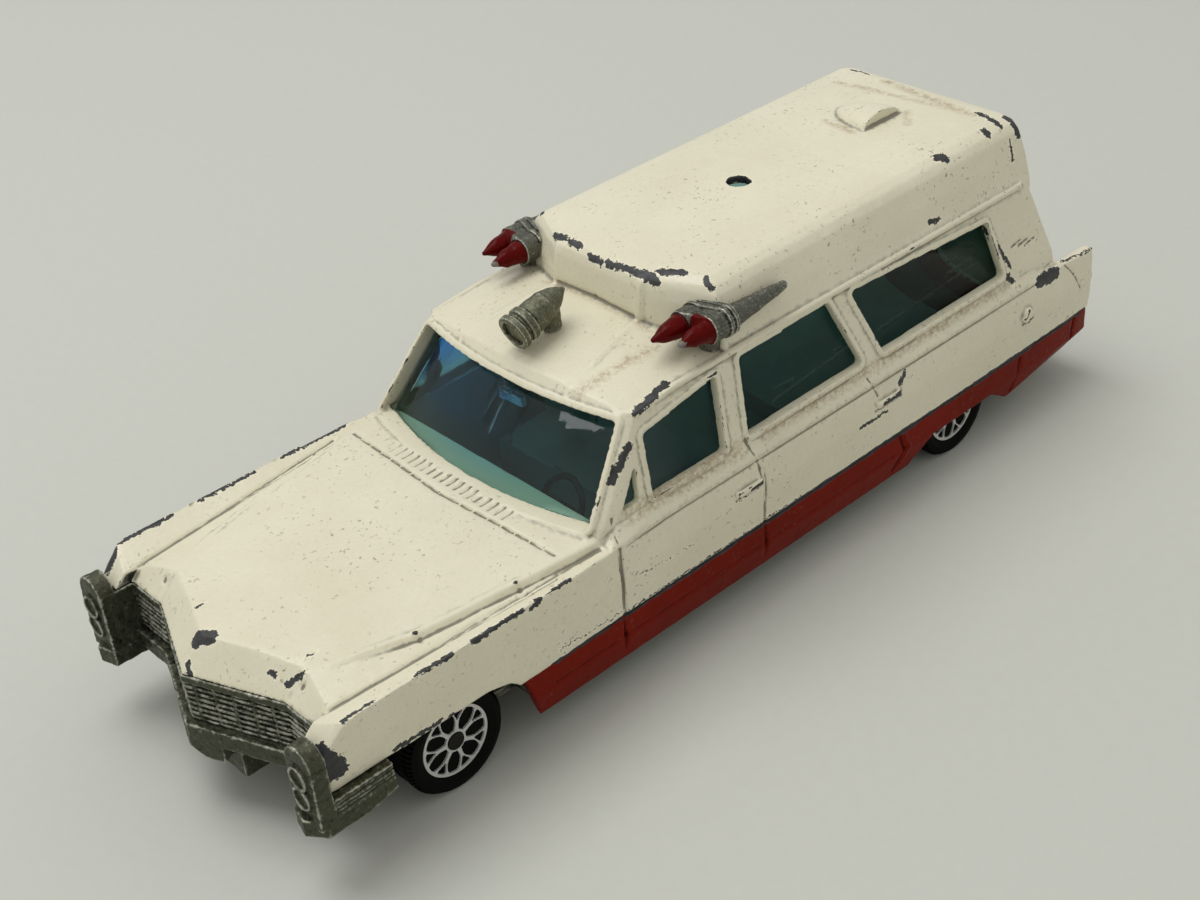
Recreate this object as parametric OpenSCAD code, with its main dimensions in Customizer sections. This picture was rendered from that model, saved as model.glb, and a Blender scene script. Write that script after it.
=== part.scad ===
// Die-cast toy ambulance with a raised roof, free-rolling wheels and a side-hinged rear door.
// X runs to the front, Y to the vehicle's left, Z up, and the wheels stand on Z = 0.

/* [Body] */
// Length over the bumpers
body_len = 154; // [148:0.5:160]
// Width over the front fenders
body_w = 50; // [49:0.25:52]
// Height of the front fender edge
fender_h = 23.6; // [23:0.1:24.2]
// Height of the line between the white and the red casting
split_h = 11.6; // [11.2:0.1:12.2]
// Wall of the castings
wall = 1.2; // [0.9:0.05:1.4]
// Height of the front wheel arch's edge
arch_h = 14; // [13.4:0.1:14.6]
// Depth of the shut lines
groove = 0.4; // [0.2:0.05:0.6]
// Width of the shut lines
groove_w = 0.5; // [0.3:0.05:0.8]

/* [Cabin] */
// Height of the window sills
sill_h = 25.6; // [25.2:0.1:26.2]
// Height of the gutters
gutter_h = 38; // [37:0.1:39]
// Crown of the cab roof
cab_h = 41; // [40.6:0.1:41.8]
// Height of the raised roof
roof_h = 47.4; // [45:0.1:50]
// How far the window sills lie inside the fenders
cabin_inset = 2.45; // [2.1:0.05:2.8]
// How far the gutters lie inside the fenders
gutter_inset = 5.1; // [4.5:0.05:5.7]
// How far the top of the raised roof's sides lies inside the fenders
roof_inset = 8.3; // [7.7:0.05:9.2]
// Bow of the windscreen's foot
screen_bow = 3.4; // [2.4:0.1:4.2]

/* [Chassis] */
// Distance from the nose to the front axle
front_overhang = 23.9; // [23:0.1:25.4]
// Distance from the tail to the rear axle
rear_overhang = 32.4; // [31:0.1:34]
// Underside of the base plate
ground_gap = 4.2; // [3.8:0.1:4.6]
// Thickness of the base plate
floor_t = 1.2; // [0.9:0.1:1.4]
// Radius of the posts that hold the base plate
post_r = 1.6; // [1.3:0.1:1.9]

/* [Wheels] */
// Diameter of the wheels
wheel_d = 15; // [14.2:0.1:15.6]
// Width of the wheels
wheel_w = 5; // [4:0.1:5.4]
// How far the wheels' outer faces lie inside the fenders
wheel_inset = 2.6; // [2.55:0.05:3.5]
// Diameter of the axles
axle_d = 1.8; // [1.4:0.1:2.2]
// Radial clearance of a wheel on its axle
running_gap = 0.05; // [0.03:0.01:0.09]

/* [Front casting] */
// Top of the grille
grille_top = 20.1; // [19.6:0.1:20.5]
// Foot of the grille
grille_foot = 12.8; // [12.2:0.1:13.4]
// Half width of the pointed part of the grille
grille_half_w = 13.8; // [12:0.1:15]
// How far the grille's ends lie behind its point
grille_rake = 5.6; // [4.6:0.1:6.6]
// Number of grille bars
grille_bars = 7; // [5:1:9]
// Radius of the headlamps
lamp_r = 1.65; // [1.3:0.05:1.8]
// Underside of the bumper
bumper_foot = 9.2; // [8.8:0.1:9.6]

/* [Rear door] */
// Width of the rear door
door_w = 31; // [28:0.2:32]
// Gap round the rear door
door_gap = 0.35; // [0.25:0.05:0.5]
// Diameter of the hinge pins
pin_d = 1; // [0.8:0.05:1.2]

/* [Roof fittings] */
// Diameter of the hole in the raised roof
hole_d = 3.4; // [3:0.1:6]
// Diameter of the siren's front
siren_d = 5.2; // [4.4:0.1:5.8]
// Length of the siren
siren_len = 9.8; // [9:0.1:11]
// Diameter of the flasher cones
cone_d = 3.3; // [2.8:0.1:3.5]
// Length of the flasher cones
cone_len = 5; // [4:0.1:6]

/* [Hidden] */
$fn = 48;

// Clearance between castings that sit against each other
fit = 0.1;
// Clearance of a pin or an axle in the piece that holds it
hold_gap = 0.02;
// Overrun of every cut
over = 1;
// Reach of cuts that pass right through the part
reach = 2 * body_len;

half_len = body_len / 2;
half_w = body_w / 2;
cabin_w = body_w - 2 * cabin_inset;
gutter_w = body_w - 2 * gutter_inset;
roof_w = body_w - 2 * roof_inset;
track_w = body_w - 2 * wheel_inset;
front_axle_x = half_len - front_overhang;
rear_axle_x = rear_overhang - half_len;
wheel_r = wheel_d / 2;
axle_r = axle_d / 2;
floor_top = ground_gap + floor_t;
wheel_y = track_w / 2 - wheel_w;

// Inside of the castings' flanks
room_share = 0.956;
room_y = room_share * half_w - wall;
under_bonnet_share = 0.93;
under_bonnet_h = under_bonnet_share * fender_h - wall;

// Front of the body: the grille's point, the fender tips and the lamp pods
guard_out = 1;
prow_x = half_len - guard_out;
prow_tilt = atan(grille_rake / grille_half_w);
grille_end_x = prow_x - grille_rake;
fender_back = 4.2;
fender_tip_x = half_len - fender_back;
fender_tip_share = 0.96;
pod_back = 1.8;
pod_x = half_len - pod_back;
pod_w = 5;
pod_out = 0.4;
pod_outer_y = half_w + pod_out;
pod_y = pod_outer_y - pod_w;
nose_pitch = 46;

// Cabin: windscreen, rear slope and raised roof, as shares of the half length
screen_foot_share = 0.4104;
screen_top_share = 0.2753;
rear_foot_share = -0.8818;
rear_top_share = -0.8299;
raised_front_share = 0.078;
raised_rear_share = -0.843;
screen_foot_x = screen_foot_share * half_len;
screen_top_x = screen_top_share * half_len;
rear_foot_x = rear_foot_share * half_len;
rear_top_x = rear_top_share * half_len;
raised_front_x = raised_front_share * half_len;
raised_rear_x = raised_rear_share * half_len;
// Bow of the windscreen's head as a share of the bow of its foot, and the pieces that the bow is made of
bow_top_share = 0.72;
bow_steps = 5;
// Rounding of the cabin's upright corners, and how much longer it is at the front
corner = 1;
corner_share = 1.3;

// Rear door, which follows the rear slope of the cabin
door_slope = (rear_foot_x - rear_top_x) / (sill_h - gutter_h);
door_tilt = atan(door_slope);
door_rise = 1;
door_foot_h = split_h + door_rise;
door_drop = 2.4;
door_head_h = gutter_h - door_drop;
door_foot_x = rear_foot_x + (door_foot_h - sill_h) * door_slope;
door_len = (door_head_h - door_foot_h) / cos(door_tilt);
door_t = 1;
// Window of the door: half its width in shares of the door's width, foot and head in shares of its length
door_window_shares = [0.37, 0.52, 0.92];
pane_t = 0.7;
pane_lap = 0.8;
door_knob_d = 1.4;
door_knob_out = 0.8;
// Knob's place in shares of the door's width and length
door_knob_shares = [-0.43, 0.36];

// Hinges of the rear door
pin_r = pin_d / 2;
knuckle_wall = 0.5;
knuckle_r = pin_r + knuckle_wall;
knuckle_len = 2.3;
knuckle_gap = 0.3;
hinge_lift = 0.15;
hinge_out = knuckle_r + hinge_lift;
hinge_y = door_w / 2 + knuckle_r - door_gap / 2;
leaf_len = 2.2;
leaf_sink = 0.3;
// Feet of the two hinges, as shares of the door's length
hinge_shares = [0.1, 0.58];

// Tail fins: thickness at the foot and at the top
fin_foot_t = 5.4;
fin_top_t = 2.9;
fin_h = 9.8;

// Half section of the white casting at places along it. Each row has the place as a share of the half
// length, then shares of the half width (y) and of the fender height (z): foot y, flank y, edge y, edge z,
// bonnet gap y, bonnet gap z, bonnet crease y, bonnet crease z, crown z.
waist_shares = [
    [1.00, 0.945, 0.965, 0.98, 0.985, 0.80, 0.92, 0.50, 0.98, 1.005],
    [0.885, 0.955, 0.98, 1.00, 1.00, 0.823, 0.931, 0.57, 0.996, 1.027],
    [0.78, 0.96, 0.985, 1.00, 1.00, 0.845, 0.94, 0.63, 1.005, 1.04],
    [0.65, 0.965, 0.985, 1.00, 1.00, 0.87, 0.955, 0.71, 1.015, 1.05],
    [0.52, 0.965, 0.985, 1.00, 1.00, 0.895, 0.968, 0.79, 1.025, 1.058],
    [0.43, 0.962, 0.982, 0.998, 0.998, 0.912, 0.98, 0.85, 1.035, 1.065],
    [0.36, 0.958, 0.978, 0.985, 0.985, 0.92, 1.00, 0.885, 1.05, 1.07],
    [0.32, 0.956, 0.973, 0.965, 0.972, 0.908, 1.05, 0.88, 1.072, 1.08],
    [0.20, 0.956, 0.97, 0.947, 0.968, 0.902, 1.075, 0.88, 1.08, 1.082],
    [-0.20, 0.956, 0.97, 0.945, 0.968, 0.90, 1.075, 0.88, 1.08, 1.082],
    [-0.62, 0.955, 0.967, 0.943, 0.965, 0.897, 1.07, 0.88, 1.075, 1.078],
    [-0.80, 0.952, 0.963, 0.94, 0.96, 0.895, 1.045, 0.87, 1.05, 1.05],
    [-0.90, 0.948, 0.958, 0.938, 0.95, 0.89, 0.965, 0.86, 0.965, 0.965],
    [-0.965, 0.943, 0.952, 0.936, 0.945, 0.89, 0.945, 0.86, 0.94, 0.94],
    [-1.00, 0.932, 0.945, 0.932, 0.94, 0.90, 0.938, 0.86, 0.93, 0.93]
];
flank_share = 0.55;
crown_fill_share = 0.75;

// Side windows: places along the half length, and heights between the sill and the gutter
vent_shares = [[0.306, 0.03], [0.266, 0.04], [0.258, 0.44]];
front_window_shares = [[0.238, 0], [0.064, 0.01], [0.053, 0.86], [0.232, 0.70]];
middle_window_shares = [[0.008, 0.03], [-0.296, 0.04], [-0.235, 0.93], [-0.005, 0.91]];
rear_window_shares = [[-0.353, 0.03], [-0.713, 0.04], [-0.683, 0.79], [-0.292, 0.91]];
framed_windows = [front_window_shares, middle_window_shares, rear_window_shares];
window_round = 0.6;
vent_round = 0.1;
frame_w = 0.7;
frame_proud = 0.3;
// Windscreen: shares of the cabin's half width at the sill and at the gutter, then its foot and head
screen_shares = [0.945, 0.945, -0.03, 0.88];

// Raised roof: height between gutter and roof, then the inset of sides, front and rear in shares of the lean
raised_shares = [
    [-0.15, -0.05, 0, 0], [0, 0, 0, 0], [0.43, 0.36, 0.10, 0], [0.76, 0.72, 0.24, 0.05],
    [0.87, 0.98, 0.36, 0.14], [0.94, 1.40, 0.62, 0.34], [0.98, 2.20, 1.15, 0.85], [1, 3.6, 2.4, 2]
];
roof_lean = (gutter_w - roof_w) / 2;
// Rows above this share of the height follow the roof's own thickness
raised_top_share = 0.9;
// Half width of the raised roof's front panel, as a share of the half gutter width
raised_prow_share = 0.4;
raised_prow_back = 4.7;
// Bead across the rear of the raised roof
bead_back = 2;
bead_w = 0.6;

// Cab roof: places along the half length and the fall of the crown from the top, in shares of the crown
crown_shares = [
    [0.42, 1.45], [0.29, 0.97], [0.24, 0.66], [0.19, 0.40], [0.13, 0.17], [0.07, 0.03], [0, 0], [-0.95, 0]
];
// Cross-section of the cab roof: places along the half gutter width and the fall there in shares
arc_shares = [[1.3, 1.5], [1, 0.95], [0.75, 0.5], [0.49, 0.23], [0.44, 0.14], [0.22, 0.04], [0, 0]];
// Fall of the cross-section at the windscreen's head
arc_flat_share = 0.4;
crown_fall = cab_h - gutter_h;
gutter_r = 0.45;
// Gutter: places along the half length, then the fall in shares of the crown
gutter_shares = [[0.24, 0.34], [0.14, 0.06], [0, 0], [-0.8, 0.06]];

// Wheel arches
arch_back = 10.2;
arch_round = 3;
// Corner of the front arch, in shares of its rounding
arch_shares = [[2, 0], [0.8, 0.3], [0.1, 1]];
skirt_arch_foot = 18.5;
skirt_arch_head = 7;
skirt_arch_h = 7.5;
skirt_rake = 3.5;

// Red casting. Each row has the place along the half length, then shares of the half width for top, crease
// and foot, then the foot's rise between the ground gap and the split.
skirt_shares = [
    [0.60, 0.957, 0.963, 0.932, 0],
    [0.20, 0.952, 0.962, 0.93, 0],
    [-0.62, 0.951, 0.96, 0.928, 0],
    [-0.74, 0.949, 0.956, 0.925, 0.04],
    [-0.90, 0.944, 0.95, 0.92, 0.28],
    [-0.965, 0.939, 0.943, 0.917, 0.40],
    [-0.995, 0.928, 0.932, 0.912, 0.48]
];
skirt_crease_share = 0.5;
pan_t = 1;
pan_front_x = front_axle_x - arch_back - skirt_rake;
pan_rear_x = rear_axle_x + skirt_arch_foot;

// Shut lines across the flanks and the tail, as shares of the half length
shut_shares = [0.336, -0.012, -0.942];
flank_line_share = 0.97;
shut_top_share = 0.965;
// Bonnet gap and cowl seam from one end to the other, in shares of half length, half width and fender height
bonnet_gap_shares = [[0.9, 0.82, 0.93], [0.43, 0.912, 0.98]];
cowl_shares = [[0.46, 0, 1.06], [0.438, 0.84, 1.035]];
// Air slots of the cowl: middle of the row in the same shares
slot_shares = [0.425, -0.07, 1.065];
slot_count = 20;
slot_pitch = 1.37;
slot_len = 2.3;
// Air slots behind the rear window: first slot and step, in shares of half length and window height
quarter_shares = [-0.765, 0.33];
quarter_step_shares = [-0.02, -0.035];
quarter_count = 3;
quarter_len = 2.8;
quarter_pitch = 8;

// Door handles and fuel cap
handle_len = 4.9;
handle_h = 0.9;
handle_out = 0.7;
handle_share = 0.814;
handle_seat_share = 0.955;
// Front ends of the door handles, as shares of the half length
handle_shares = [0.062, -0.312];
cap_r = 1.2;
cap_out = 0.9;
cap_shares = [-0.77, 0.95, 0.77];

// Scoop and hole in the raised roof
scoop_len = 8.7;
scoop_depth = 8.2;
scoop_h = 2.2;
scoop_sink = 0.35;
scoop_share = -0.649;
scoop_face_y = 3;
hole_share = -0.292;

// Posts of the white casting, each with a peened head under the base plate
front_post_share = 0.8;
rear_post_share = -0.856;
rear_post_y = room_y - 2 * post_r - wall;
rear_post_h = under_bonnet_h - wall;
head_t = 0.6;
head_r = post_r + head_t;
posts = [
    [front_post_share * half_len, 0, under_bonnet_h + wall / 2],
    [rear_post_share * half_len, rear_post_y, rear_post_h],
    [rear_post_share * half_len, -rear_post_y, rear_post_h]
];

// Base plate
plate_y = room_y - fit;
wheel_side_gap = 0.6;
neck_y = wheel_y - wheel_side_gap;
casting_t = 2.2;
casting_back_x = grille_end_x - casting_t;
front_wheel_room = 1.4;
plate_rear_share = -0.91;
plate_rear_x = plate_rear_share * half_len;
boss_w = 5.2;
boss_len = 4;
boss_wall = 1.1;
boss_h = wheel_r + axle_r + boss_wall;

// Rear bumper and the valance before it
rear_bumper_t = 2.6;
rear_bumper_inset = 4.9;
rear_bumper_half_w = half_w - rear_bumper_inset;
rear_bumper_h = 10.8;
rear_bumper_bow = 1;
tongue_t = 1;
tongue_w = 12;
valance_x = rear_bumper_t - half_len;

// Front casting
grille_recess = 0.6;
grille_rail = 1.1;
bar_share = 0.45;
rib_pitch = 2.6;
rib_w = 0.35;
blade_out = 0.9;
blade_h = 2.4;
guard_half_w = 4.6;
guard_h = 4.6;
guard_chamfer = 0.8;
wrap_len = 11;
wrap_t = 2.1;
wrap_tip = 1.2;
wrap_ribs = 4;
wrap_groove = 0.35;
pod_head_h = 22.2;
// Heights of the lamps between the bumper's top and the pod's head
lamp_shares = [0.30, 0.59];
lamp_out = 0.5;
lamp_ring = 0.35;

// Glazing and inside mirror
glass_t = 0.8;
glass_foot = 1.1;
glass_in = wall + fit;
glass_rear_share = -0.745;
mirror_w = 4.4;
mirror_h = 1.5;
mirror_t = 0.7;
mirror_shares = [0.279, 0.6];
stalk_w = 0.6;
stalk_shares = [0.29, 0.84];

// Interior
tub_t = 1;
tub_y = cabin_w / 2 - wall - fit;
tub_floor_h = floor_top + fit + pan_t + fit;
deck_h = boss_h + fit;
pan_lap = 0.3;
dash_share = 0.336;
dash_x = dash_share * half_len;
dash_t = 0.9;
shelf_drop = 0.9;
seat_len = 9;
seat_h = 6.4;
seat_back_h = 15;
seat_back_t = 2;
seat_half_w = 18;
seat_share = 0.03;
bulkhead_gap = 2.5;

// Steering wheel
rim_r = 3.6;
rim_t = 0.9;
column_r = 0.6;
column_tilt = 58;
column_len = 3.6;
steering_share = 0.38;
steering_drop = 0.4;
spoke_w = 0.8;

// Wheels
tread_chamfer = 0.6;
hub_r = 5.3;
hub_depth = 0.4;
axle_pocket_r = 1.7;
axle_pocket = 0.9;
axle_head_t = 0.6;
axle_head_r = axle_r + axle_head_t / 2;

// Flashers. The inner barrel stands ahead of the outer one.
flasher_tip_x = 10.4;
flasher_step = 1.3;
flasher_inset = 4.2;
flasher_y = gutter_w / 2 - flasher_inset;
flasher_pitch_y = 3.5;
flasher_rise = 1.5;
flasher_h = cab_h + flasher_rise;
barrel_wall = 0.3;
barrel_r = cone_d / 2 + barrel_wall;
barrel_len = 4;
ring_t = 0.5;
ring_out = 0.25;
cone_tip_r = 0.25;
cone_mid_share = 0.55;
cone_mid_r_share = 0.72;
tail_len = 11.4;
tail_rise = 0.6;
tail_out = 0.3;
tail_tip_r = 0.65;
flasher_foot_r = 1.7;

// Siren: profile from its front to its tip in shares of its length and of its front radius
siren_tilt = 17;
siren_front_share = 0.265;
siren_face_h = 42;
siren_shares = [
    [0, 0.84], [0.015, 1], [0.10, 1], [0.12, 0.86], [0.17, 0.86], [0.19, 0.95], [0.29, 0.95], [0.31, 0.84],
    [0.62, 0.80], [0.80, 0.56], [0.95, 0.22], [1, 0.10]
];
siren_dish_shares = [[0, 0.74], [0.05, 0.66]];
siren_foot_r = 1.3;
siren_foot_share = 0.72;

function mix(a, b, t) = a + (b - a) * t;
function cabin_z(share) = mix(sill_h, gutter_h, share);
function body_point(s) = [s[0] * half_len, s[1] * half_w, s[2] * fender_h];
function flip_y(p) = len(p) == 3 ? [p[0], -p[1], p[2]] : [p[0], -p[1]];
function mirrored(half) =
    concat(half, [for (i = [len(half) - 1:-1:0]) if (half[i][1] != 0) flip_y(half[i])]);

// Closed skin through rings of equal length, with flat ends
module skin(rings) {
    n = len(rings[0]);
    last = len(rings) - 1;
    bands = [for (i = [0:last - 1], j = [0:n - 1]) each band(i * n, (i + 1) * n, j, (j + 1) % n)];
    caps = [[for (j = [n - 1:-1:0]) j], [for (j = [0:n - 1]) last * n + j]];
    polyhedron(points = [for (ring = rings) each ring], faces = concat(bands, caps));
}

function band(a, b, j, k) = [[a + j, a + k, b + k], [a + j, b + k, b + j]];

// Turns its children's X axis to the line from p to q
module along(p, q) {
    d = q - p;
    translate(p)
        rotate([0, -asin(d[2] / norm(d)), atan2(d[1], d[0])])
            children();
}

// Straight bar of width w and height h from one point to another
module rail(p, q, w, h) {
    along(p, q)
        translate([0, -w / 2, -h / 2])
            cube([norm(q - p), w, h]);
}

// Cylinder whose axis lies along X
module drum(h, r) {
    rotate([0, 90, 0])
        cylinder(h = h, r = r);
}

// Outline drawn in X and Z, carried across the part from one side to the other
module across(points, w = reach) {
    rotate([90, 0, 0])
        translate([0, 0, -w / 2])
            linear_extrude(w)
                polygon(points);
}

// Both sides of the vehicle
module both_sides() {
    children();
    mirror([0, 1, 0])
        children();
}

// White casting

function waist_ring(row) =
    let (
        x = row[0] * half_len,
        y = half_w,
        z = fender_h,
        flank_z = mix(split_h, row[4] * z, flank_share)
    )
    mirrored([
        [x, row[1] * y, split_h], [x, row[2] * y, flank_z], [x, row[3] * y, row[4] * z],
        [x, row[5] * y, row[6] * z], [x, row[7] * y, row[8] * z],
        [x, row[7] * y / 2, mix(row[8], row[9], crown_fill_share) * z], [x, 0, row[9] * z]
    ]);

module waist() {
    skin([for (row = waist_shares) waist_ring(row)]);
}

// Plan of the bonnet and fenders, which stop behind the grille and the lamp pods, moved back by d
function bonnet_plan(z, d) =
    mirrored([
        [prow_x - fit - d, 0, z], [grille_end_x - fit - d, grille_half_w, z],
        [grille_end_x - fit - d, pod_y, z], [fender_tip_x - d, pod_y + fit, z],
        [fender_tip_x - d, fender_tip_share * half_w, z], [fender_tip_x - corner - d, half_w + over, z],
        [-half_len - over, half_w + over, z]
    ]);

// Block that leaves the bonnet's front slopes, which fall to the top of the grille
module nose_block() {
    rise = sill_h + over - grille_top;
    skin([
        bonnet_plan(grille_top + rise, rise / tan(nose_pitch)), bonnet_plan(grille_top, 0), bonnet_plan(0, 0)
    ]);
}

// Cabin between the sills and the cab roof, grown by g
function cabin_ring(z, g) =
    let (
        t = (z - sill_h) / (gutter_h - sill_h),
        y = mix(cabin_w, gutter_w, max(t, 0)) / 2 + g,
        front = mix(screen_foot_x, screen_top_x, t) + g * sqrt(2),
        rear = mix(rear_foot_x, rear_top_x, t) - g,
        bow = screen_bow * mix(1, bow_top_share, t)
    )
    mirrored(concat(
        [[front, 0, z]],
        [for (i = [1:bow_steps]) let (u = i / bow_steps) [front - bow * u * u, u * (y - corner), z]],
        [[front - bow - corner_share * corner, y, z], [rear + corner, y, z], [rear, y - corner, z]]
    ));

module cabin(g, low, high) {
    skin([for (z = [high, sill_h, low]) cabin_ring(z, g)]);
}

// Everything below the cab roof's surface, let down by d
module under_cab_roof(d) {
    skin([
        for (row = crown_shares)
            let (
                x = row[0] * half_len,
                top = cab_h - d - row[1] * crown_fall,
                fall = crown_fall * mix(1, arc_flat_share, min(1, row[1]))
            )
            mirrored(concat(
                [[x, body_w, split_h], [x, body_w, top - 2 * crown_fall]],
                [for (a = arc_shares) [x, a[0] * gutter_w / 2, top - a[1] * fall]]
            ))
    ]);
}

// Raised roof over the patient's room, grown by g
function raised_ring(row, g) =
    let (
        z = mix(gutter_h, roof_h, row[0]) + (row[0] > raised_top_share ? g : 0),
        y = gutter_w / 2 - fit - row[1] * roof_lean + g,
        front = raised_front_x - row[2] * roof_lean + g,
        rear = raised_rear_x + row[3] * roof_lean - g,
        prow = (gutter_w * raised_prow_share - row[2] * roof_lean) / 2
    )
    mirrored([
        [front, 0, z], [front, prow, z], [front - raised_prow_back, y, z],
        [rear + corner, y, z], [rear, y - corner, z]
    ]);

module raised_roof(g) {
    skin([for (i = [len(raised_shares) - 1:-1:0]) raised_ring(raised_shares[i], g)]);
}

module rounded_outline(points, round, grow) {
    offset(r = round + grow)
        offset(delta = -round)
            polygon(points);
}

// Prism across the cabin through one pair of side windows
module window_prism(shares, round, grow) {
    rotate([90, 0, 0])
        translate([0, 0, -reach / 2])
            linear_extrude(reach)
                rounded_outline([for (p = shares) [p[0] * half_len, cabin_z(p[1])]], round, grow);
}

// Prism along X through the windscreen, from inside the cab outwards
module screen_prism(grow) {
    low = screen_shares[0] * cabin_w / 2;
    high = screen_shares[1] * gutter_w / 2;
    foot = cabin_z(screen_shares[2]);
    head = cabin_z(screen_shares[3]);
    translate([screen_top_x - half_w / 2, 0, 0])
        rotate([90, 0, 90])
            linear_extrude(half_w)
                rounded_outline([[-low, foot], [low, foot], [high, head], [-high, head]], window_round, grow);
}

// Raised frames round the windscreen and the side windows
module window_frames() {
    intersection() {
        cabin(frame_proud, sill_h - over, gutter_h);
        union() {
            for (w = framed_windows)
                window_prism(w, window_round, frame_w);
            screen_prism(frame_w);
        }
    }
}

// Front wheel arch and the fender's lower edge ahead of it
module front_arch() {
    foot_x = front_axle_x - arch_back;
    across([
        [half_len + over, 0], [half_len + over, arch_h],
        for (s = arch_shares) [foot_x + s[0] * arch_round, arch_h - s[1] * arch_round],
        [foot_x, 0]
    ]);
}

// Moves its children to the rear slope: X into the cabin, Z up along the door
module on_rear_slope() {
    translate([door_foot_x, 0, door_foot_h])
        rotate([0, door_tilt, 0])
            children();
}

// Room inside the white casting
module body_room() {
    intersection() {
        union() {
            translate([-half_len, -room_y, 0])
                cube([half_len + casting_back_x, 2 * room_y, under_bonnet_h]);
            translate([-half_len, -cabin_w / 2 + wall, split_h])
                cube([half_len + screen_foot_x - screen_bow - wall, cabin_w - 2 * wall, sill_h - split_h]);
        }
        on_rear_slope()
            translate([wall, -reach / 2, -reach / 2])
                cube(reach);
    }
    intersection() {
        cabin(-wall, sill_h - 2 * over, gutter_h + over);
        under_cab_roof(wall);
    }
    intersection() {
        raised_roof(-wall);
        translate([-reach / 2, -reach / 2, 0])
            cube([reach, reach, roof_h - wall]);
    }
}

// Space behind the rear slope and between the tail fins
module tail_recess() {
    foot_y = half_w - fin_foot_t;
    top_y = half_w - fin_top_t;
    head = (gutter_h - over - door_foot_h) / cos(door_tilt);
    on_rear_slope()
        translate([-half_w, 0, 0])
            rotate([90, 0, 90])
                linear_extrude(half_w)
                    polygon([
                        [-foot_y, -half_w], [foot_y, -half_w], [foot_y, 0], [top_y, fin_h], [top_y, head],
                        [-top_y, head], [-top_y, fin_h], [-foot_y, 0]
                    ]);
}

module door_hole() {
    on_rear_slope()
        translate([-over, -door_w / 2 - door_gap, -door_gap])
            cube([2 * over + 2 * wall, door_w + 2 * door_gap, door_len + 2 * door_gap]);
}

// Shut lines, bonnet gaps, cowl seam and air slots
module engravings() {
    both_sides() {
        for (share = shut_shares)
            translate([share * half_len - groove_w / 2, flank_line_share * half_w - groove, split_h - over])
                cube([groove_w, half_w, shut_top_share * fender_h - split_h + over]);
        rail(body_point(bonnet_gap_shares[0]), body_point(bonnet_gap_shares[1]), groove_w, groove);
        rail(body_point(cowl_shares[0]), body_point(cowl_shares[1]), groove_w, 2 * groove);
        for (i = [0:quarter_count - 1])
            let (s = quarter_shares + i * quarter_step_shares)
            translate([s[0] * half_len, mix(cabin_w, gutter_w, s[1]) / 2, cabin_z(s[1])])
                rotate([0, quarter_pitch, 0])
                    cube([quarter_len, 2 * groove, groove_w], center = true);
    }
    for (i = [0:slot_count - 1])
        translate(body_point(slot_shares) + [0, (i - slot_count / 2) * slot_pitch, 0])
            cube([slot_len, groove_w, 2 * groove], center = true);
    translate([raised_rear_x + bead_back, -half_w, roof_h - groove / 2])
        cube([bead_w, body_w, groove]);
}

// Low scoop on the rear of the raised roof, with its steep face to the left
module roof_scoop() {
    intersection() {
        translate([scoop_share * half_len, scoop_face_y, roof_h - scoop_sink])
            scale([scoop_len / 2, scoop_depth, scoop_h])
                sphere(1, $fn = 28);
        translate([-half_len, scoop_face_y - half_w, 0])
            cube([half_len, half_w, reach]);
    }
}

function gutter_ring(s) = [
    for (a = [15:60:315])
        [s[0] * half_len, gutter_w / 2 + gutter_r * cos(a), gutter_h - s[1] * crown_fall + gutter_r * sin(a)]
];

module gutters() {
    both_sides()
        skin([for (s = gutter_shares) gutter_ring(s)]);
}

module handles() {
    for (share = handle_shares)
        both_sides()
            translate([
                share * half_len - handle_len,
                handle_seat_share * half_w,
                handle_share * fender_h - handle_h / 2
            ])
                cube([handle_len, handle_out, handle_h]);
    translate(body_point(cap_shares))
        rotate([-90, 0, 0])
            cylinder(h = cap_out, r = cap_r);
}

// Ribs between the rear posts and the flanks
module post_ribs() {
    both_sides()
        translate([rear_post_share * half_len - wall / 2, rear_post_y, split_h])
            cube([wall, room_y + wall / 2 - rear_post_y, rear_post_h - split_h]);
}

module shell_skin() {
    resize([0, 0, 0])
        union() {
            difference() {
                union() {
                    intersection() {
                        waist();
                        nose_block();
                    }
                    intersection() {
                        cabin(0, sill_h - 2 * over, cab_h + over);
                        under_cab_roof(0);
                    }
                    raised_roof(0);
                    window_frames();
                    roof_scoop();
                    gutters();
                    handles();
                }
                front_arch();
                body_room();
                for (w = framed_windows)
                    window_prism(w, window_round, 0);
                window_prism(vent_shares, vent_round, 0);
                screen_prism(0);
                tail_recess();
                door_hole();
                engravings();
                translate([casting_back_x - fit, -pod_y - wall - fit, 0])
                    cube([half_w, 2 * (pod_y + wall + fit), grille_top + fit]);
            }
            post_ribs();
            for (p = posts)
                post(p);
            on_rear_slope()
                for (share = hinge_shares)
                    hinge_half(share * door_len + knuckle_len + knuckle_gap, 1);
        }
}

// Knuckle and leaf of one hinge half, on the door's side (side = -1) or on the body's side (side = 1)
module hinge_half(foot, side) {
    near = side < 0 ? door_w / 2 - fit : door_w / 2 + door_gap + fit;
    translate([0, 0, foot]) {
        translate([-hinge_out, hinge_y, 0])
            cylinder(h = knuckle_len, r = knuckle_r);
        translate([0, 0, fit])
            linear_extrude(knuckle_len - 2 * fit)
                polygon([
                    [leaf_sink, near], [leaf_sink, near + side * leaf_len],
                    [fit - hinge_out, near + side * leaf_len], [fit - hinge_out, hinge_y],
                    [-hinge_lift - fit, hinge_y], [-hinge_lift - fit, near]
                ]);
    }
}

// Bores of both hinges on the rear slope
module hinge_bores(gap) {
    for (share = hinge_shares)
        translate([-hinge_out, hinge_y, share * door_len - over])
            cylinder(h = 2 * (knuckle_len + over) + knuckle_gap, r = pin_r + gap);
}

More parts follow.
